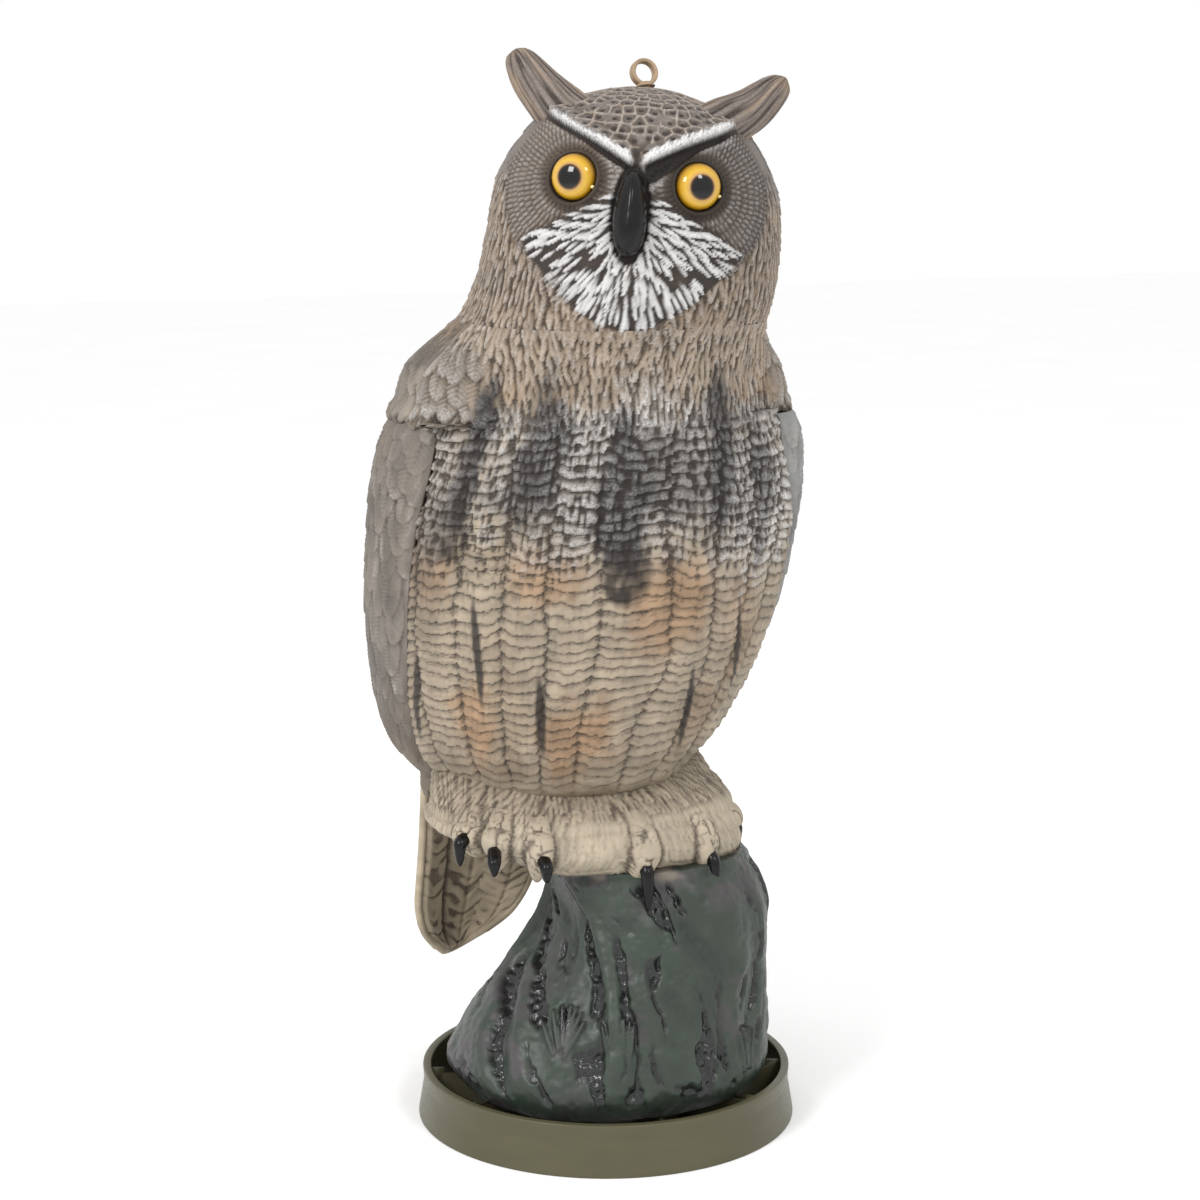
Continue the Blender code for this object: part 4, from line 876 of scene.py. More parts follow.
def build_head():
    """The head: eye discs, brows, white bristles round the beak, a netted crown and laid feathers behind."""
    skin, local = head_skin()
    x, y, z = np.moveaxis(local, -1, 0)
    run = np.abs(x)
    muzzle = muzzle_mask(x, z) * smooth(-y, 20, 32)
    beak_reach = np.hypot((x + 1.4) / 8.9, (z - 2.4) / 22.6)
    beak_zone = smooth(beak_reach, 1.13, 1.02) * smooth(-y, 30, 40)
    discs = sum(face_disc(skin, local, side) for side in (-1, 1))
    above = z - brow_line(x)
    crown = (above > 3.2) & (y < 38) & (run < 50) | ((z > 47) & (y < 30))
    crown_cells(skin, crown)
    nape = (y > 8) & ~crown
    laid = nape & (z > -30)
    for k, place in enumerate(skin.places(0.0080, 0.0095, laid, 71)):
        skin.feather(place, (0, 0, -1), 0.0170, 0.0112, 0.0016, 0.6, 0.2, 6, 0.2 * (chance(k, 72) - 0.5))
    loose = (z < -18) & (muzzle < 0.4) & ~laid | (run > 60) & (z < 22) & (discs < 0.5) & ~nape
    neck_strokes(skin, loose, 73, 0.0014)
    white, pit = brow_and_hollow(skin, local)
    before = skin.height.copy()
    skin.height *= 0
    bristles(skin, local, muzzle * (1 - beak_zone))
    brow_bristles(skin, local, white > 0.4)
    strokes = skin.height
    skin.height = before * (1 - 0.85 * muzzle) + strokes
    covered = smooth(strokes, 0.00025, 0.0008)
    edge = smooth(muzzle, 0.15, 0.6)
    skin.paint(DISC_SHADE * 0.4 + SOOT * 0.6, edge)
    skin.paint(WHITE, covered * edge)
    skin.brush = np.maximum(skin.brush * (1 - edge), 0.6 * edge * covered)
    # Patches of disc brown over the lower bristles, more of them towards the bottom of the face.
    darker_low_patches = smooth(noise(local, 7.0, 68), 0.05, 0.7) * smooth(z, -14, -26)
    skin.paint(DISC_SHADE, 0.55 * edge * darker_low_patches)
    skin.paint(SOOT, 0.7 * white * (1 - smooth(strokes, 0.0001, 0.0006)))
    outer = smooth(z, 22, 4) * (1 - edge) * (1 - np.clip(discs, 0, 1))
    skin.paint(TAN * 0.85, outer)
    skin.paint(TAN, smooth(z, -38, -50) * (1 - edge))
    skin.height -= 0.0019 * beak_zone
    skin.paint(NEAR_BLACK, beak_zone)
    skin.dark_paint_and_shade *= 1 - beak_zone
    eye_x, eye_z = (1000 * k for k in EYE_PLACE)
    # Painted shade round the eyes: no dry brush there, and a darker tone.
    shade_round_eyes = sum(smooth(np.hypot(x - k * eye_x, z - eye_z), 19, 15) for k in (-1, 1))
    shade_round_eyes = shade_round_eyes * smooth(-y, 20, 30)
    skin.dry_brush(0.30 * (1 - edge) * (1 - pit) * (1 - beak_zone))
    skin.brush *= 1 - shade_round_eyes
    skin.tone -= 0.22 * shade_round_eyes
    lowest = smooth(skin.points[..., 2], HEAD_SEAM + 0.0030, HEAD_SEAM - 0.0050)
    skin.height -= 0.0015 * lowest
    skin.paint(TAN, 0.35 * smooth(skin.outline, 0.6, 1) * nape)
    skin.build("head_plumage", LOOKS["head"], "feather_grey", "owl", ["head_shell"], 0.0008, 4)
    for side in (-1, 1):
        build_tuft(side)


def lofted(spine, radii, flatten, sides, rows, tip=0.35):
    """Grid of points on a tube along a smooth spine, with a round end, and the shares along and around it."""
    knots = np.linspace(0, 1, len(spine))
    table = [(k, *p, r) for k, p, r in zip(knots, spine, radii)]
    t = 1 - (1 - np.linspace(0, 1, rows)) ** 1.35
    path = columns_at(table, t)
    round_end = np.sqrt(np.clip(1 - (np.maximum(t - 1 + tip, 0) / tip) ** 2.4, 0, 1))
    centre, radius = path[:, :3], path[:, 3] * round_end
    ahead = np.gradient(centre, axis=0)
    ahead /= np.linalg.norm(ahead, axis=1, keepdims=True)
    x_axis = np.cross(np.array((0, 1, 0.01)), ahead)
    x_axis /= np.linalg.norm(x_axis, axis=1, keepdims=True)
    y_axis = np.cross(ahead, x_axis)
    around = np.linspace(0, 2 * pi, sides, endpoint=False)
    c, s = np.cos(around)[None, :, None], np.sin(around)[None, :, None]
    grid = centre[:, None] + radius[:, None, None] * (c * x_axis[:, None] + flatten * s * y_axis[:, None])
    turn, share = np.meshgrid(around, t)
    return grid, share, turn


def build_tuft(side):
    """An ear tuft: a flattened horn of feathers with long grooves, swept outwards."""
    name = "left" if side > 0 else "right"
    spine = [(side * 0.0200, -0.0240, 0.0365), *TUFTS[name]]
    grid, share, turn = lofted(spine, [0.0115, 0.0125, 0.0120, 0.0096, 0.0075, 0.0058], 0.55, 120, 96)
    points = moved(HEAD_FRAME, grid)
    skin = Skin(points, CROWN * 1.15, wrap=True, pole=True)
    bend = turn + 0.5 * share * side + 0.12 * noise(grid, 0.015, 91)
    around = np.stack([np.cos(bend) * 0.012, np.sin(bend) * 0.012, share * 0.05], -1)
    groove = 0.5 + 0.5 * noise(around, np.array((0.0030, 0.0030, 0.016)), 92)
    small = noise(around, np.array((0.0012, 0.0012, 0.010)), 93)
    fade = smooth(share, 1.0, 0.9)
    skin.height = (0.0018 * groove + 0.0006 * small) * (0.3 + 0.7 * fade)
    skin.dark_paint_and_shade += 0.7 * smooth(groove + 0.25 * small, 0.42, 0.15)
    skin.paint(TAN * 1.15, 0.8 * smooth(groove, 0.55, 0.9))
    skin.paint(TAN * 1.05, 0.5 * smooth(share, 0.75, 0.95))
    skin.brush += 0.15
    skin.build(f"ear_tuft_{name}", LOOKS["head"], "feather_grey", "owl", [], 0.0006, 3)


def dome_grid(steps, rings):
    """Unit disc grid: shares of the radius by ring, and angles."""
    return np.meshgrid(np.linspace(0, 2 * pi, steps, endpoint=False), np.linspace(1, 0, rings))


def build_eyes():
    """Each eye is a polished dome, with a bead of moulding flash at its lower edge."""
    for side, name in ((-1, "right"), (1, "left")):
        socket = (side * EYE_PLACE[0], EYE_FRONT, EYE_PLACE[1])
        place = HEAD_FRAME @ aimed(socket, (side * EYE_OUT, -1.0, EYE_UP))
        turn, share = dome_grid(72, 30)
        lift = -0.0034 + 0.0082 * np.sqrt(np.clip(1 - share**2, 0, 1))
        grid = np.stack([EYE_RADIUS * share * np.cos(turn), EYE_RADIUS * share * np.sin(turn), lift], -1)
        skin = Skin(moved(place, grid), AMBER, wrap=True, pole=True)
        # The eye keeps its radius share in the dark layer, which its material reads through a colour ramp.
        skin.dark_paint_and_shade = share
        skin.build(f"eye_{name}", LOOKS["eye"], "eye_amber", "owl", [f"eye_{name}_lens", f"eye_{name}_iris"])
        bead = place @ Matrix.Translation((0.0106, -0.0038, -0.0010))
        turn, share = dome_grid(20, 8)
        lift = 0.0013 * np.sqrt(np.clip(1 - share**2, 0, 1))
        grid = np.stack([0.0011 * share * np.cos(turn), 0.0009 * share * np.sin(turn), lift], -1)
        Skin(moved(bead, grid), srgb(226, 206, 150), wrap=True, pole=True).build(
            f"eye_{name}_bead", LOOKS["bead"], "eye_amber", "owl", [])



def build_beak():
    """A long glossy drop with a low ridge down its middle and a hooked end."""
    place = HEAD_FRAME @ aimed((-0.0014, -0.0641, 0.0024), (0, -1, 0.12))
    around, along = np.meshgrid(np.linspace(0, 2 * pi, 64, endpoint=False), np.linspace(-1, 1, 60))
    arc = np.sin(along * pi / 2)
    ring = np.sqrt(np.clip(1 - arc**2, 0, 1))
    width = BEAK_WIDTH * (1 - 0.16 * arc) * ring**0.9
    out = np.sin(around)
    bulge = np.where(arc > 0, BEAK_BULGE, BEAK_BULGE - 0.0030 * arc) * ring
    ridge = 0.0009 * np.exp(-((np.cos(around) / 0.25) ** 2)) * ring
    depth = np.where(out > 0, out * bulge + ridge, out * 0.0012)
    pinch = 1 - 0.12 * smooth(arc, -0.2, -0.6) * smooth(out, 0.2, 0.9)
    grid = np.stack([np.cos(around) * width * pinch, arc * BEAK_LENGTH, 0.0016 + depth], -1)
    skin = Skin(moved(place, grid), srgb(22, 19, 19), wrap=True, pole=True)
    skin.build("beak_gloss", LOOKS["black"], "gloss_black", "owl", ["beak"])


# ---------------------------------------------------------------- wings
# Shares of the wing's height, the pitch up and across, and the feathers' length, width and lift.
WING_FEATHERS = (
    (0.0, 0.34, 0.0190, 0.0120, 0.062, 0.0135, 0.0022),
    (0.30, 0.66, 0.0170, 0.0150, 0.036, 0.0175, 0.0022),
    (0.62, 1.0, 0.0105, 0.0125, 0.021, 0.0145, 0.0019),
)


def wing_span(t, side):
    """Angles of the front and rear edges of a wing, at a share t of its height."""
    front = np.radians(np.where(side < 0, 71 + 12 * (1 - t) ** 1.3, 50 + 36 * (1 - t) ** 0.9))
    rear = np.radians(128 + 30 * np.sin(pi * np.minimum(1.0, 0.08 + t * 0.80)) ** 0.7)
    tip, crown = np.maximum(0.0, 0.16 - t) / 0.16, np.maximum(0.0, t - 0.85) / 0.15
    middle = np.where(t < 0.5, radians(124), radians(100))
    pinch = (1 - np.sqrt(1 - tip * tip)) * 0.78
    front_pinch, rear_pinch = np.maximum(pinch, crown**2 * 0.10), np.maximum(pinch, crown * 0.50)
    return front + (middle - front) * front_pinch, rear + (middle - rear) * rear_pinch


def wing_stand(t, u):
    """How far the wing's outer skin stands off the torso, at a share u from its front edge to its rear."""
    edge = np.minimum(1.0, np.minimum(4.5 * u, 4.5 * (1 - u)))
    top = 0.0045 * np.clip((t - 0.70) / 0.22, 0, 1)
    hug = WING_HUG + 0.0018 * np.maximum(0, t - 0.85) / 0.15
    return hug + (WING_MARGIN + top - hug) * np.sin(pi / 2 * edge) - 0.0012 * smooth(t, 0.992, 1)


def build_wing(side):
    """A folded wing: small rounded feathers at its top, longer ones below, and flight feathers at its tip."""
    name = "left" if side > 0 else "right"
    u, t = np.meshgrid(np.linspace(0, 1, 150), np.linspace(0, 1, 262))
    if side < 0:
        u = u[:, ::-1]
    height = WING_LOW + (WING_TOP - WING_LOW) * t
    start, end = wing_span(t, side)
    angle = side * (start + (end - start) * u)
    points = on_skin(TORSO, angle, np.maximum(height, 0.185), wing_stand(t, u))
    points[..., 2] = height
    skin = Skin(points, WING_GREY)
    rear = np.array((side * 0.10, 0.34, -1.0))
    for low, high, up, across, length, width, lift in WING_FEATHERS:
        for k, place in enumerate(skin.places(up, across, (t >= low) & (t <= high), 101 + side)):
            tone = 0.26 * (chance(k, 102 + side) - 0.5)
            size = 0.85 + 0.3 * chance(k, 103)
            skin.feather(place, rear, length * size, width * size, lift, 0.62, 0.15, int(length * 420), tone)
    rim = np.minimum(np.minimum(u, 1 - u) * 60, np.minimum(t * 60, (1 - t) * 45))
    skin.height *= smooth(rim, 0, 2.5)
    patchy = 0.5 + 0.5 * noise(points, 0.016, 105)
    skin.paint(WING_BROWN, smooth(u, 0.30, 0.75) * (0.45 + 0.4 * patchy))
    inner = smooth(u, 0.45, 0.15) * smooth(t, 0.25, 0.45)
    skin.paint(WING_BLUE, (0.85 if side > 0 else 0.15) * inner)
    skin.paint(TAN, 0.6 * smooth(t, 0.30, 0.10))
    fleck = smooth(noise(points, np.array((0.004, 0.004, 0.009)), 107), -0.1, 0.6)
    skin.brush += (0.15 + 0.9 * patchy * fleck) * smooth(t, 0.10, 0.35)
    skin.dark_paint_and_shade += 0.55 * smooth(skin.outline, 0.72, 0.98) * (0.6 + 0.6 * patchy)
    skin.paint(CREAM, 0.20 * smooth(skin.outline, 0.3, 0.7))
    skin.paint(SOOT, 0.35 * smooth(noise(points, np.array((0.02, 0.02, 0.03)), 106), 0.1, 0.7))
    body = f"wing_{name}"
    skin.build(f"wing_{name}_plumage", LOOKS["wing"], "feather_grey", body, [body], 0.0009, 4, WING_THICK)
    build_lug(side, name, body)


def turned(profile, steps):
    """Points and faces of a solid of revolution about Z, from a closed (radius, height) outline."""
    turn = np.linspace(0, 2 * pi, steps, endpoint=False)
    outline = np.array(profile)
    grid = np.stack([np.outer(np.cos(turn), outline[:, 0]), np.outer(np.sin(turn), outline[:, 0]),
                     np.outer(np.ones(steps), outline[:, 1])], -1)
    count = len(outline)
    faces = []
    for i in range(steps):
        for j in range(count):
            a, b = i * count + j, i * count + (j + 1) % count
            c, d = ((i + 1) % steps) * count + (j + 1) % count, ((i + 1) % steps) * count + j
            faces.append((a, d, c, b))
    return grid.reshape(-1, 3), faces


def joined(parts):
    """The points and faces of several meshes as one."""
    points, faces = [], []
    for more, quads in parts:
        faces += [tuple(k + len(points) for k in quad) for quad in quads]
        points += np.array(more).tolist()
    return points, faces


def rounded(corners, radius, steps=4):
    """An outline with each corner replaced by a small arc."""
    points = [Vector((*c, 0)) for c in corners]
    made = []
    for before, corner, after in zip(points[-1:] + points[:-1], points, points[1:] + points[:1]):
        trim = min(radius, (before - corner).length * 0.45, (after - corner).length * 0.45)
        start = corner + (before - corner).normalized() * trim
        end = corner + (after - corner).normalized() * trim
        for k in range(steps + 1):
            s = k / steps
            spot = start * (1 - s) ** 2 + corner * 2 * s * (1 - s) + end * s * s
            made.append((spot.x, spot.y))
    return made


def build_lug(side, name, body):
    """The wing's lug: a barrel moulded on its inside, round the bush."""
    x = columns_at(TORSO, WING_AXIS[1])
    middle = Vector((x[0] + side * (x[2] + WING_AXIS[0]), sum(WING_AXIS_Y) / 2, WING_AXIS[1]))
    half = (WING_AXIS_Y[1] - WING_AXIS_Y[0]) / 2 - 0.0036
    outline = rounded([(0.0029, -half), (0.0037, -half), (0.0037, half), (0.0029, half)], 0.0003)
    points, faces = turned(outline, 48)
    points = moved(Matrix.Translation(middle) @ Matrix.Rotation(pi / 2, 4, "X"), points)
    piece(f"wing_{name}_lug", points, faces, LOOKS["plain"], body)


# ---------------------------------------------------------------- tail
TAIL_ROOT, TAIL_TIP = (-0.021, 0.1200, 0.214), (-0.040, 0.136, 0.052)
# Middle and half width of each long feather, as shares of the tail's half width, and its lift.
TAIL_FEATHERS = ((-0.80, 0.25, 0.0036), (0.66, 0.50, 0.0022), (-0.02, 0.62, 0.0014))


def build_tail():
    """The tail: a scooped tongue of three overlapping long feathers with slanted barbs."""
    root, tip = np.array(TAIL_ROOT), np.array(TAIL_TIP)
    t, u = np.meshgrid(np.linspace(1, 0, 210), np.linspace(-1, 1, 104), indexing="ij")
    middle = root + (tip - root) * t[..., None]
    top = np.clip((0.18 - t) / 0.18, 0, 1) ** 2
    middle[..., 1] -= 0.006 * np.sin(pi * t) + 0.0100 * top
    half = (0.043 - 0.012 * t) * (1 - np.clip((t - 0.75) / 0.25, 0, 1) ** 2 * 0.42)
    corner = np.clip((t - 0.90) / 0.10, 0, 1)
    half = half * (1 - 0.30 * corner**2) * (1 - 0.45 * top)
    scoop = (0.0075 + 0.0080 * t) * u * u
    lift = (0.008 * u * u + 0.005 * u + 0.004) * np.clip((t - 0.5) / 0.5, 0, 1)
    points = middle + np.stack([half * u, -scoop, lift], -1)
    for name, flip in (("front", -1), ("back", 1)):
        face = points + np.array((0, 0.0026 * flip, 0))
        if flip > 0:
            face = face[:, ::-1]
        skin = Skin(face, TAIL_TAN)
        across = u[:, ::-1] if flip > 0 else u
        for number, (centre, wide, rise) in enumerate(TAIL_FEATHERS):
            b = (across - centre) / wide
            slant = 0.163 * t + 0.55 * np.abs(b) * wide * 0.035
            spot = np.stack([slant, 0 * t, b * wide * 0.035], -1)
            spot = spot + 0.0018 * noise(points, 0.0065, 119)[..., None]
            barb = noise(spot, np.array((0.0028, 1, 0.009)), 111 + number)
            shape = rise * (0.55 + 0.45 * np.sqrt(np.clip(1 - b * b, 0, 1))) + 0.0007 * barb
            shape = shape - 0.0008 * np.exp(-((b / 0.07) ** 2)) * (number > 0)
            wins = (np.abs(b) < 1) & (shape > skin.height)
            dark_paint_and_shade = 0.85 * smooth(barb, -0.25, -0.6) + 0.8 * smooth(np.abs(b), 0.93, 1)
            skin.height = np.where(wins, shape, skin.height)
            skin.dark_paint_and_shade = np.where(wins, dark_paint_and_shade, skin.dark_paint_and_shade)
        groove = (flip < 0) * np.exp(-(((across + 0.50 + 0.03 * noise(points, 0.02, 115)) / 0.06) ** 2))
        skin.dark_paint_and_shade += 0.95 * groove
        skin.height -= 0.0012 * groove
        rim = np.minimum(1 - np.abs(across), np.minimum(t, 1 - t) * 4)
        skin.height *= smooth(rim, 0, 0.08)
        skin.paint(CREAM, 0.55 * smooth(noise(points, 0.014, 117), -0.2, 0.6))
        skin.brush += 0.2
        replaces = ["tail"] if flip < 0 else []
        skin.build(f"tail_{name}", LOOKS["feet"], "feather_tan", "owl", replaces, 0.0007, 3, 0.0008)
    edge_points, edge_faces = tail_edge(points)
    piece("tail_edge", edge_points, edge_faces, LOOKS["plain_tan"], "owl")


def tail_edge(points):
    """A rounded bead round the tail's outline, which closes its two faces."""
    loop = np.concatenate([points[:, 0], points[-1, 1:], points[::-1, -1][1:], points[0, ::-1][1:-1]])
    ahead = np.roll(loop, -1, axis=0) - np.roll(loop, 1, axis=0)
    ahead /= np.linalg.norm(ahead, axis=1, keepdims=True) + 1e-9
    side = np.cross(ahead, (0, 1, 0))
    side /= np.linalg.norm(side, axis=1, keepdims=True) + 1e-9
    turn = np.linspace(0, 2 * pi, 12, endpoint=False)
    ring = (np.cos(turn)[None, :, None] * side[:, None] * 0.0022
            + np.sin(turn)[None, :, None] * np.array((0, 0.0034, 0)))
    grid = loop[:, None] + ring
    rows, columns = grid.shape[:2]
    index = np.arange(rows * columns).reshape(rows, columns)
    index = np.vstack([index, index[:1]])
    index = np.hstack([index, index[:, :1]])
    quads = np.stack([index[:-1, :-1], index[1:, :-1], index[1:, 1:], index[:-1, 1:]], -1)
    return grid.reshape(-1, 3), quads.reshape(-1, 4).tolist()


# ---------------------------------------------------------------- feet
def feet_grid(count):
    """Points of the furred skirt of the feet: a band over the stump, and a slope from it up to the belly."""
    turn = np.linspace(0, 2 * pi, count, endpoint=False)
    angle, height = np.meshgrid(turn, np.linspace(FEET[0][0], 0.1700, 46))
    lower = on_skin(FEET, angle, height)
    front = smooth(np.abs((turn + pi) % (2 * pi) - pi), radians(112), radians(84))
    roof = 0.1757 + front * (0.0110 + 0.0110 * np.sin(turn) ** 2)
    belly = on_skin(TORSO, turn, np.maximum(roof, 0.1790), -0.0020)
    climb = np.linspace(0, 1, 36)[1:, None]
    upper = lower[-1] + (belly - lower[-1]) * (climb**1.6)[..., None]
    upper[..., 2] = 0.1700 + (roof - 0.1700) * climb**0.8
    middle = belly.mean(axis=0) * (1, 1, 0) + (0, 0, 0.1757)
    cap = [belly + (middle - belly) * k for k in np.linspace(0, 1, 12)[1:]]
    points = np.concatenate([lower, upper, np.stack(cap)])
    x, low = points[..., 0], smooth(points[..., 2], 0.182, 0.150)
    points[..., 2] += low * (0.0120 * smooth(-x, 0.030, 0.095) - 0.0045 * smooth(x, 0.0, 0.06))
    points[..., 0] += 0.0075 * smooth(x, 0.020, 0.060) * smooth(points[..., 2], 0.186, 0.172)
    return points, np.broadcast_to(turn, x.shape)


def build_feet():
    """The furred skirt of the feet with five flat toes raised on it, one knuckle at its left end, and painted
    shade.
    """
    points, turn = feet_grid(460)
    skin = Skin(points, FUR, wrap=True, pole=True)
    z = points[..., 2]
    out = points - np.array((-0.013, 0.004, 0))
    for k, place in enumerate(skin.places(0.0062, 0.0030, z > 0, 121)):
        aim = out[place] * (1, 1, 0) / 0.07 + (0, 0, -0.9)
        lift = (0.0006 + 0.0006 * smooth(z[place], 0.174, 0.180)) * (0.3 + 1.0 * chance(k, 122))
        skin.feather(place, aim, 0.0085, 0.0024, lift, 0.2, 0.2, tone=0.14 * (chance(k, 123) - 0.5))
    skin.height += 0.0008 * noise(points, 0.014, 124)
    fur = skin.height.copy()
    for number, (_, start, end) in enumerate(TOES[:5]):
        middle = np.array(Vector(start).lerp(Vector(end), 0.72)) + (0, 0, 0.002)
        middle[2] += 0.004 * (number == 0)
        middle[0] -= 0.003 * (number < 3)
        middle[2] -= 0.006 * (number >= 3)
        rows = points[:70]
        place = np.unravel_index(np.argmin(np.linalg.norm(rows - middle, axis=-1)), rows.shape[:2])
        length, width = (0.038, 0.0175) if number == 3 else (0.031, 0.0150)
        skin.feather(place, (0, 0, -1), length, width, 0.0072, 0.0, 0.10)
    toe = smooth(skin.height - fur, 0.0002, 0.0020)
    fold = np.abs(noise(points, np.array((0.0046, 0.0046, 0.0080)), 131))
    small = np.abs(noise(points, np.array((0.0024, 0.0024, 0.0050)), 133))
    crack = toe * np.maximum(smooth(fold, 0.17, 0.03), 0.8 * smooth(small, 0.12, 0.02))
    crack = crack * smooth(noise(points, 0.008, 132), -0.8, -0.1)
    skin.height -= 0.0008 * crack
    skin.dark_paint_and_shade += 0.9 * crack
    radial = np.stack([turn * 0.075, 0 * turn, z * 0.3 + np.hypot(out[..., 0], out[..., 1])], -1)
    hairs = smooth(noise(radial, np.array((0.0014, 1, 0.009)), 126), 0.05, 0.5) * (1 - toe)
    skin.dark_paint_and_shade += hairs * (0.15 + 0.65 * smooth(z, 0.1735, 0.1800))
    # Painted shade under the belly, on the top of the skirt.
    skin.paint(CREAM * 0.8, 0.6 * smooth(z, 0.172, 0.180))
    # Painted shade: grey along the skirt's lowest rows, its underside.
    skin.paint(BARK_GREY, 0.65 * smooth(np.arange(len(z))[:, None] + 0 * z, 5, 0))
    skin.brush += 0.25
    skin.build("feet_fur", LOOKS["feet"], "feather_tan", "owl", ["feet_shell"], 0.0006, 3)
    build_toe(*TOES[5])


def build_toe(name, start, end):
    """One feathered toe that stands clear of the skirt, cracked into little pads."""
    start, end = Vector(start) - Vector((0, 0, 0.0075)), Vector(end) - Vector((0, 0, 0.0060))
    spine = [tuple(start.lerp(end, k)) for k in (-0.25, 0.15, 0.55, 0.95)]
    sizes = [TOE_RADIUS * k for k in (0.80, 0.95, 0.92, 0.80)]
    grid, share, _ = lofted(spine, sizes, 1.0, 84, 60, 0.5)
    skin = Skin(grid, FUR, wrap=True, pole=True)
    fold = np.abs(noise(grid, np.array((0.0050, 0.0050, 0.0100)), 141))
    crack = smooth(fold, 0.13, 0.02) * smooth(share, 0.02, 0.2)
    skin.height = 0.0004 * noise(grid, np.array((0.0028, 0.0028, 0.0085)), 142) - 0.0008 * crack
    skin.dark_paint_and_shade += 0.9 * crack
    skin.brush += 0.25
    skin.build(f"toe_{name}", LOOKS["feet"], "feather_tan", "owl", [], 0.0006, 3)


def build_talons():
    """The curved claws, hooked over the edge of the stump."""
    for (name, start, end), reach_share, lower in zip(TOES, CLAW_REACH, CLAW_DROP):
        start, end = Vector(start), Vector(end) - Vector((0, 0, lower))
        out = Vector((end.x - start.x, end.y - start.y, 0)).normalized()
        ahead = (end - start).normalized()
        end = end - out * CLAW_INSET
        points = [end - ahead * 0.0140, end - ahead * 0.0050, end + ahead * 0.0016]
        for reach, drop in ((0.0010, 0.0052), (0.0002, 0.0057), (-0.0002, 0.0053)):
            points.append(points[-1] + (out * reach + Vector((0, 0, -drop))) * reach_share)
        sizes = [0.0036, 0.0037, 0.0036, 0.0031, 0.0022, 0.0014]
        grid, _, _ = lofted([tuple(p) for p in points], sizes, 1.0, 28, 40, 0.2)
        skin = Skin(grid, BLACK, wrap=True, pole=True)
        skin.height = 0.0002 * noise(grid, np.array((0.002, 0.002, 0.006)), 151)
        skin.build(f"claw_{name}", LOOKS["black"], "gloss_black", "owl", [f"talon_{name}"], 0.0006, 3)


# ---------------------------------------------------------------- stump and base
# Fans of raised fingers on the bark: angle in degrees, height, how many, and how far they spread.
FINGERS = ((-45, 0.070, 7, 0.20), (-20, 0.066, 6, 0.07), (34, 0.050, 4, 0.10))


def build_stump():
    """The stump: slanting bark grooves and a few root-like fingers near its foot."""
    heights = np.linspace(STUMP[0][0], STUMP[-1][0], 190)
    seen = radians(104)
    turns = np.concatenate([np.linspace(-seen, seen, 380), np.linspace(seen, 2 * pi - seen, 102)[1:-1]])
    angle, height = np.meshgrid((turns + pi) % (2 * pi) - pi, heights)
    points = on_skin(STUMP, angle, height)
    top = points[-1].mean(axis=0) + (0, 0, 0.0002)
    cap = [points[-1] + (top - points[-1]) * k for k in np.linspace(0, 1, 12)[1:]]
    skin = Skin(np.concatenate([points, np.stack(cap)]), MOSS, wrap=True, pole=True)
    points = skin.points
    height, angle = points[..., 2], np.vstack([angle, angle[:11]])
    slant = 0.85 * smooth(angle, radians(60), radians(-60))
    across = angle * 0.075 + slant * (height - 0.085)
    warp = 0.010 * noise(points, 0.030, 160)
    flat = np.stack([across + warp, 0 * height, height], -1)
    wall = smooth(height, 0.1450, 0.1380) * smooth(height, 0.026, 0.040)
    fold = noise(flat, np.array((0.015, 1, 0.060)), 161)
    lumps = 0.0034 * fold * wall + 0.0007 * noise(points, 0.009, 162)
    skin.height += lumps + 0.0003 * noise(points, 0.003, 170)
    jagged = flat + 0.0016 * noise(points, 0.0035, 164)[..., None]
    deep = smooth(noise(jagged, np.array((0.0062, 1, 0.026)), 163), 0.00, -0.36) * smooth(fold, 0.90, 0.30)
    cut = wall * deep * smooth(noise(points, 0.022, 165), 0.65, 0.10)
    skin.height -= 0.0030 * cut * (0.8 + 0.5 * noise(points, 0.003, 166))
    for middle, level, count, fan in FINGERS:
        for finger in range(count):
            part = finger - (count - 1) / 2
            column = int(np.argmin(np.abs(angle[0] - radians(middle) - part * 0.036)))
            row = int(np.argmin(np.abs(height[:180, column] - level + 0.0006 * part * part)))
            skin.feather((row, column), (part * fan, 0, 1.0), 0.023, 0.0030, 0.0034, 0.0, 0.45)
    skin.dark_paint_and_shade += 0.95 * smooth(cut, 0.15, 0.6) + 0.35 * smooth(fold, -0.25, -0.7) * wall
    skin.gloss += 0.3 + 0.7 * cut
    ragged = noise(points, 0.012, 167) + 0.5 * noise(points, 0.004, 168)
    grey = smooth(height, 0.112, 0.142) * smooth(ragged, -0.5, 0.4)
    grey = np.maximum(grey, smooth(-points[..., 0], 0.020, 0.070) * smooth(ragged, -0.1, 0.5) * 0.9)
    grey = np.maximum(grey, 0.6 * smooth(ragged, 0.45, 0.9))
    skin.paint(BARK_GREY, grey)
    skin.paint(FUR * 0.7, 0.5 * smooth(height, 0.1385, 0.1450) * smooth(ragged, 0.0, 0.6))
    skin.tone += 0.10 * noise(points, 0.006, 169)
    skin.brush += 0.10
    skin.build("stump_bark", LOOKS["bark"], "stump_green", "owl", ["stump_shell"], 0.0011, 4)


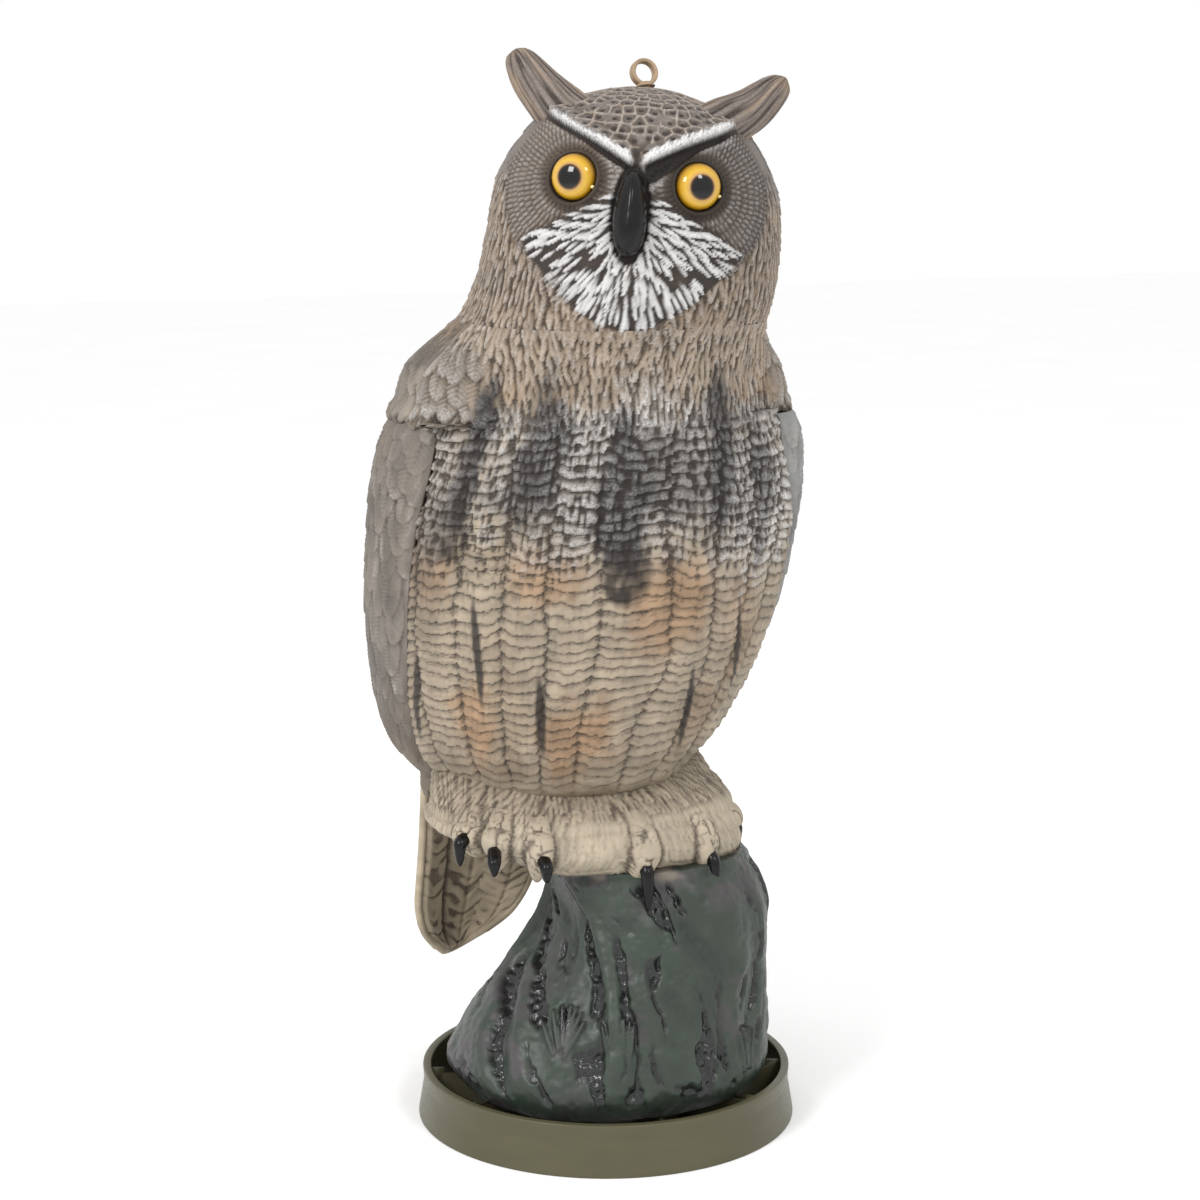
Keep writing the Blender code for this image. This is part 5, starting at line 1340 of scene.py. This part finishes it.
def build_base():
    """The base: a flared rim, ten stepped ribs and a socket, with softened edges."""
    low, top, wall = BASE_RADIUS + BASE_FLARE, BASE_RADIUS, 0.0030
    rim = [(low, 0), (low - 0.0004, 0.003), (top - 0.0006, 0.019), (top, BASE_HEIGHT),
           (top - wall - 0.0012, BASE_HEIGHT), (top - wall - 0.0016, BASE_HEIGHT - 0.0012),
           (low - wall - 0.0016, 0)]
    hub = [(HUB_RADIUS + 0.003, 0), (HUB_RADIUS + 0.003, 0.0183), (HUB_RADIUS, 0.0183), (HUB_RADIUS, 0.0028),
           (0.0004, 0.0028), (0.0004, 0)]
    parts = [turned(rounded(rim, 0.0009), 192), turned(rounded(hub, 0.0005, 3), 120)]
    rib, rib_faces = rib_mesh()
    for k in range(BASE_RIBS):
        turn = Matrix.Rotation(2 * pi * (k + 0.5) / BASE_RIBS, 4, "Z")
        parts.append((moved(turn, np.array(rib)), rib_faces))
    points, faces = joined(parts)
    piece("base_moulding", points, faces, LOOKS["olive"], "base", ["base_ring"])


def rib_mesh():
    """A stepped rib with chamfered top edges, along +X."""
    outline = [(RIB_STEPS[0][0], 0.0)]
    for start, end, height in RIB_STEPS:
        outline += [(max(start, outline[-1][0]), height), (end, height)]
    outline.append((RIB_STEPS[-1][1], 0.0))
    points = []
    for y, sink in ((-0.0011, 0.0003), (-0.0008, 0.0), (0.0008, 0.0), (0.0011, 0.0003)):
        points += [(r, y, max(0.0, z - sink)) for r, z in outline]
    count = len(outline)
    faces = [tuple(reversed(range(count))), tuple(range(3 * count, 4 * count))]
    for layer in range(3):
        for i in range(count):
            j = (i + 1) % count
            here, above = layer * count, (layer + 1) * count
            faces.append((here + i, here + j, above + j, above + i))
    return points, faces


def build_ring():
    """The hanging ring: a short moulded tube with soft lips, on a stem."""
    crown = HEAD_FRAME @ Vector((0.000, 0.006, HEAD_TOP - 0.0005))
    place = Matrix.Translation(crown) @ Matrix.Rotation(-radians(16), 4, "X")
    lay = place @ Matrix.Translation((0, 0, 0.0087)) @ Matrix.Rotation(pi / 2, 4, "X")
    loop = rounded([(0.0051, -0.0025), (0.0071, -0.0025), (0.0071, 0.0025), (0.0051, 0.0025)], 0.0009, 5)
    ring, ring_faces = turned(loop, 72)
    stem = rounded([(0.0004, -0.0060), (0.0028, -0.0060), (0.0028, 0.0010), (0.0052, 0.0014),
                    (0.0044, 0.0026), (0.0030, 0.0038), (0.0004, 0.0038)], 0.0004, 3)
    stalk, stalk_faces = turned(stem, 40)
    points, faces = joined([(moved(lay, ring), ring_faces), (moved(place, stalk), stalk_faces)])
    piece("hanging_ring", points, faces, LOOKS["ring"], "owl", ["hang_ring"])


# ---------------------------------------------------------------- carried-over hardware
def dress_hardware():
    """Finishes for the CAD nodes that stay: screws, pins, clips, brackets, bushes, collar, nut and plug."""
    finishes = {"zinc_steel": LOOKS["steel"], "natural_nylon": LOOKS["nylon"], "gloss_black": LOOKS["rubber"]}
    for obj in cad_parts.values():
        for material_slot in obj.material_slots:
            found = material_slot.material.name.split(".")[0] if material_slot.material else ""
            if found in finishes:
                material_slot.material = finishes[found]


# ---------------------------------------------------------------- studio
CAMERA_AZIMUTH, CAMERA_DIP = radians(-22), radians(10.55)
CAMERA_DISTANCE, CAMERA_ASIDE, CAMERA_HEIGHT, CAMERA_LENS = 1.405, 0.0032, 0.5445, 80.8
FLOOR_HALF = 6


def build_camera():
    """The camera stands to the owl's right front, a little above its head, and looks slightly down."""
    azimuth, dip = CAMERA_AZIMUTH, CAMERA_DIP
    back, right = Vector((sin(azimuth), -cos(azimuth), 0)), Vector((cos(azimuth), sin(azimuth), 0))
    z_axis = back * cos(dip) + Vector((0, 0, sin(dip)))
    turn = Matrix((right, z_axis.cross(right), z_axis)).transposed().to_4x4()
    camera = bpy.data.objects.new("camera", bpy.data.cameras.new("camera"))
    camera.data.lens, camera.data.sensor_width = CAMERA_LENS, 36.0
    place = back * CAMERA_DISTANCE - right * CAMERA_ASIDE + Vector((0, 0, CAMERA_HEIGHT))
    camera.matrix_world = Matrix.Translation(place) @ turn
    bpy.context.scene.collection.objects.link(camera)
    bpy.context.scene.camera = camera


def area_light(name, azimuth, height, distance, size, power):
    """A soft light that looks at the middle of the owl."""
    angle, target = radians(azimuth), Vector((0, 0, 0.33))
    place = Vector((sin(angle) * distance, -cos(angle) * distance, height))
    lamp = bpy.data.lights.new(name, "AREA")
    lamp.size, lamp.energy = size, power
    obj = bpy.data.objects.new(name, lamp)
    obj.matrix_world = aimed(place, place - target)
    bpy.context.scene.collection.objects.link(obj)


def build_studio():
    """A pale floor, a white surround and two soft lights, the stronger from the upper left."""
    mesh = bpy.data.meshes.new("floor")
    corners = [(x * FLOOR_HALF, y * FLOOR_HALF, 0) for x, y in ((-1, -1), (1, -1), (1, 1), (-1, 1))]
    mesh.from_pydata(corners, [], [(0, 1, 2, 3)])
    look, tree, shader = new_look("pale_floor")
    cloud = spread(tree, grain(tree, 6.0), 0.3, 0.7, 0.0, 1.0)
    pale = tint(tree, cloud, (0.965, 0.965, 0.965), (0.985, 0.985, 0.985))
    tree.links.new(pale, shader.inputs["Base Color"])
    shader.inputs["Roughness"].default_value = 0.9
    mesh.materials.append(look)
    floor = bpy.data.objects.new("floor", mesh)
    bpy.context.scene.collection.objects.link(floor)
    world = bpy.data.worlds.new("white_surround")
    world.use_nodes = True
    world.node_tree.nodes["Background"].inputs["Color"].default_value = (1, 1, 1, 1)
    world.node_tree.nodes["Background"].inputs["Strength"].default_value = 1.0
    bpy.context.scene.world = world
    area_light("key", -60, 1.35, 1.5, 0.5, 15)
    area_light("front", 10, 1.6, 1.6, 0.4, 9)
    bpy.context.scene.view_settings.view_transform = "Standard"


LOOKS = {
    "breast": painted_look("breast_paint", srgb(46, 40, 37), tuple(WHITE)),
    "head": painted_look("head_paint", srgb(44, 38, 36), tuple(WHITE)),
    "wing": painted_look("wing_paint", srgb(58, 52, 47), tuple(SILVER * 1.05), 0.55, 0.15),
    "feet": painted_look("feet_paint", srgb(62, 52, 46), tuple(CREAM * 1.15), 0.66),
    "bark": painted_look("bark_paint", srgb(22, 20, 23), tuple(BARK_GREY), 0.52, 0.25),
    "plain": plastic_look("wing_inside_plastic", WING_BROWN * 0.8, 0.5),
    "plain_tan": plastic_look("tail_edge_paint", TAIL_TAN * 0.75, 0.6, 0.25),
    "ring": plastic_look("ring_paint", srgb(150, 128, 102), 0.5, 0.3),
    "olive": plastic_look("olive_plastic", srgb(80, 77, 56), 0.34, 0.06),
    "black": plastic_look("gloss_black_paint", srgb(16, 14, 14), 0.24, 0.2, 0.25),
    "rubber": plastic_look("black_rubber", srgb(32, 31, 31), 0.6, 0.1),
    "nylon": plastic_look("natural_nylon_plastic", srgb(200, 196, 182), 0.45, 0.05),
    "bead": plastic_look("amber_flash", srgb(232, 212, 150), 0.25, 0.1),
    "steel": steel_look("zinc_plate"),
    "eye": eye_look(),
}
build_torso()
build_head()
build_eyes()
build_beak()
for wing_side in (-1, 1):
    build_wing(wing_side)
build_tail()
build_feet()
build_talons()
build_stump()
build_base()
build_ring()
dress_hardware()
build_camera()
build_studio()
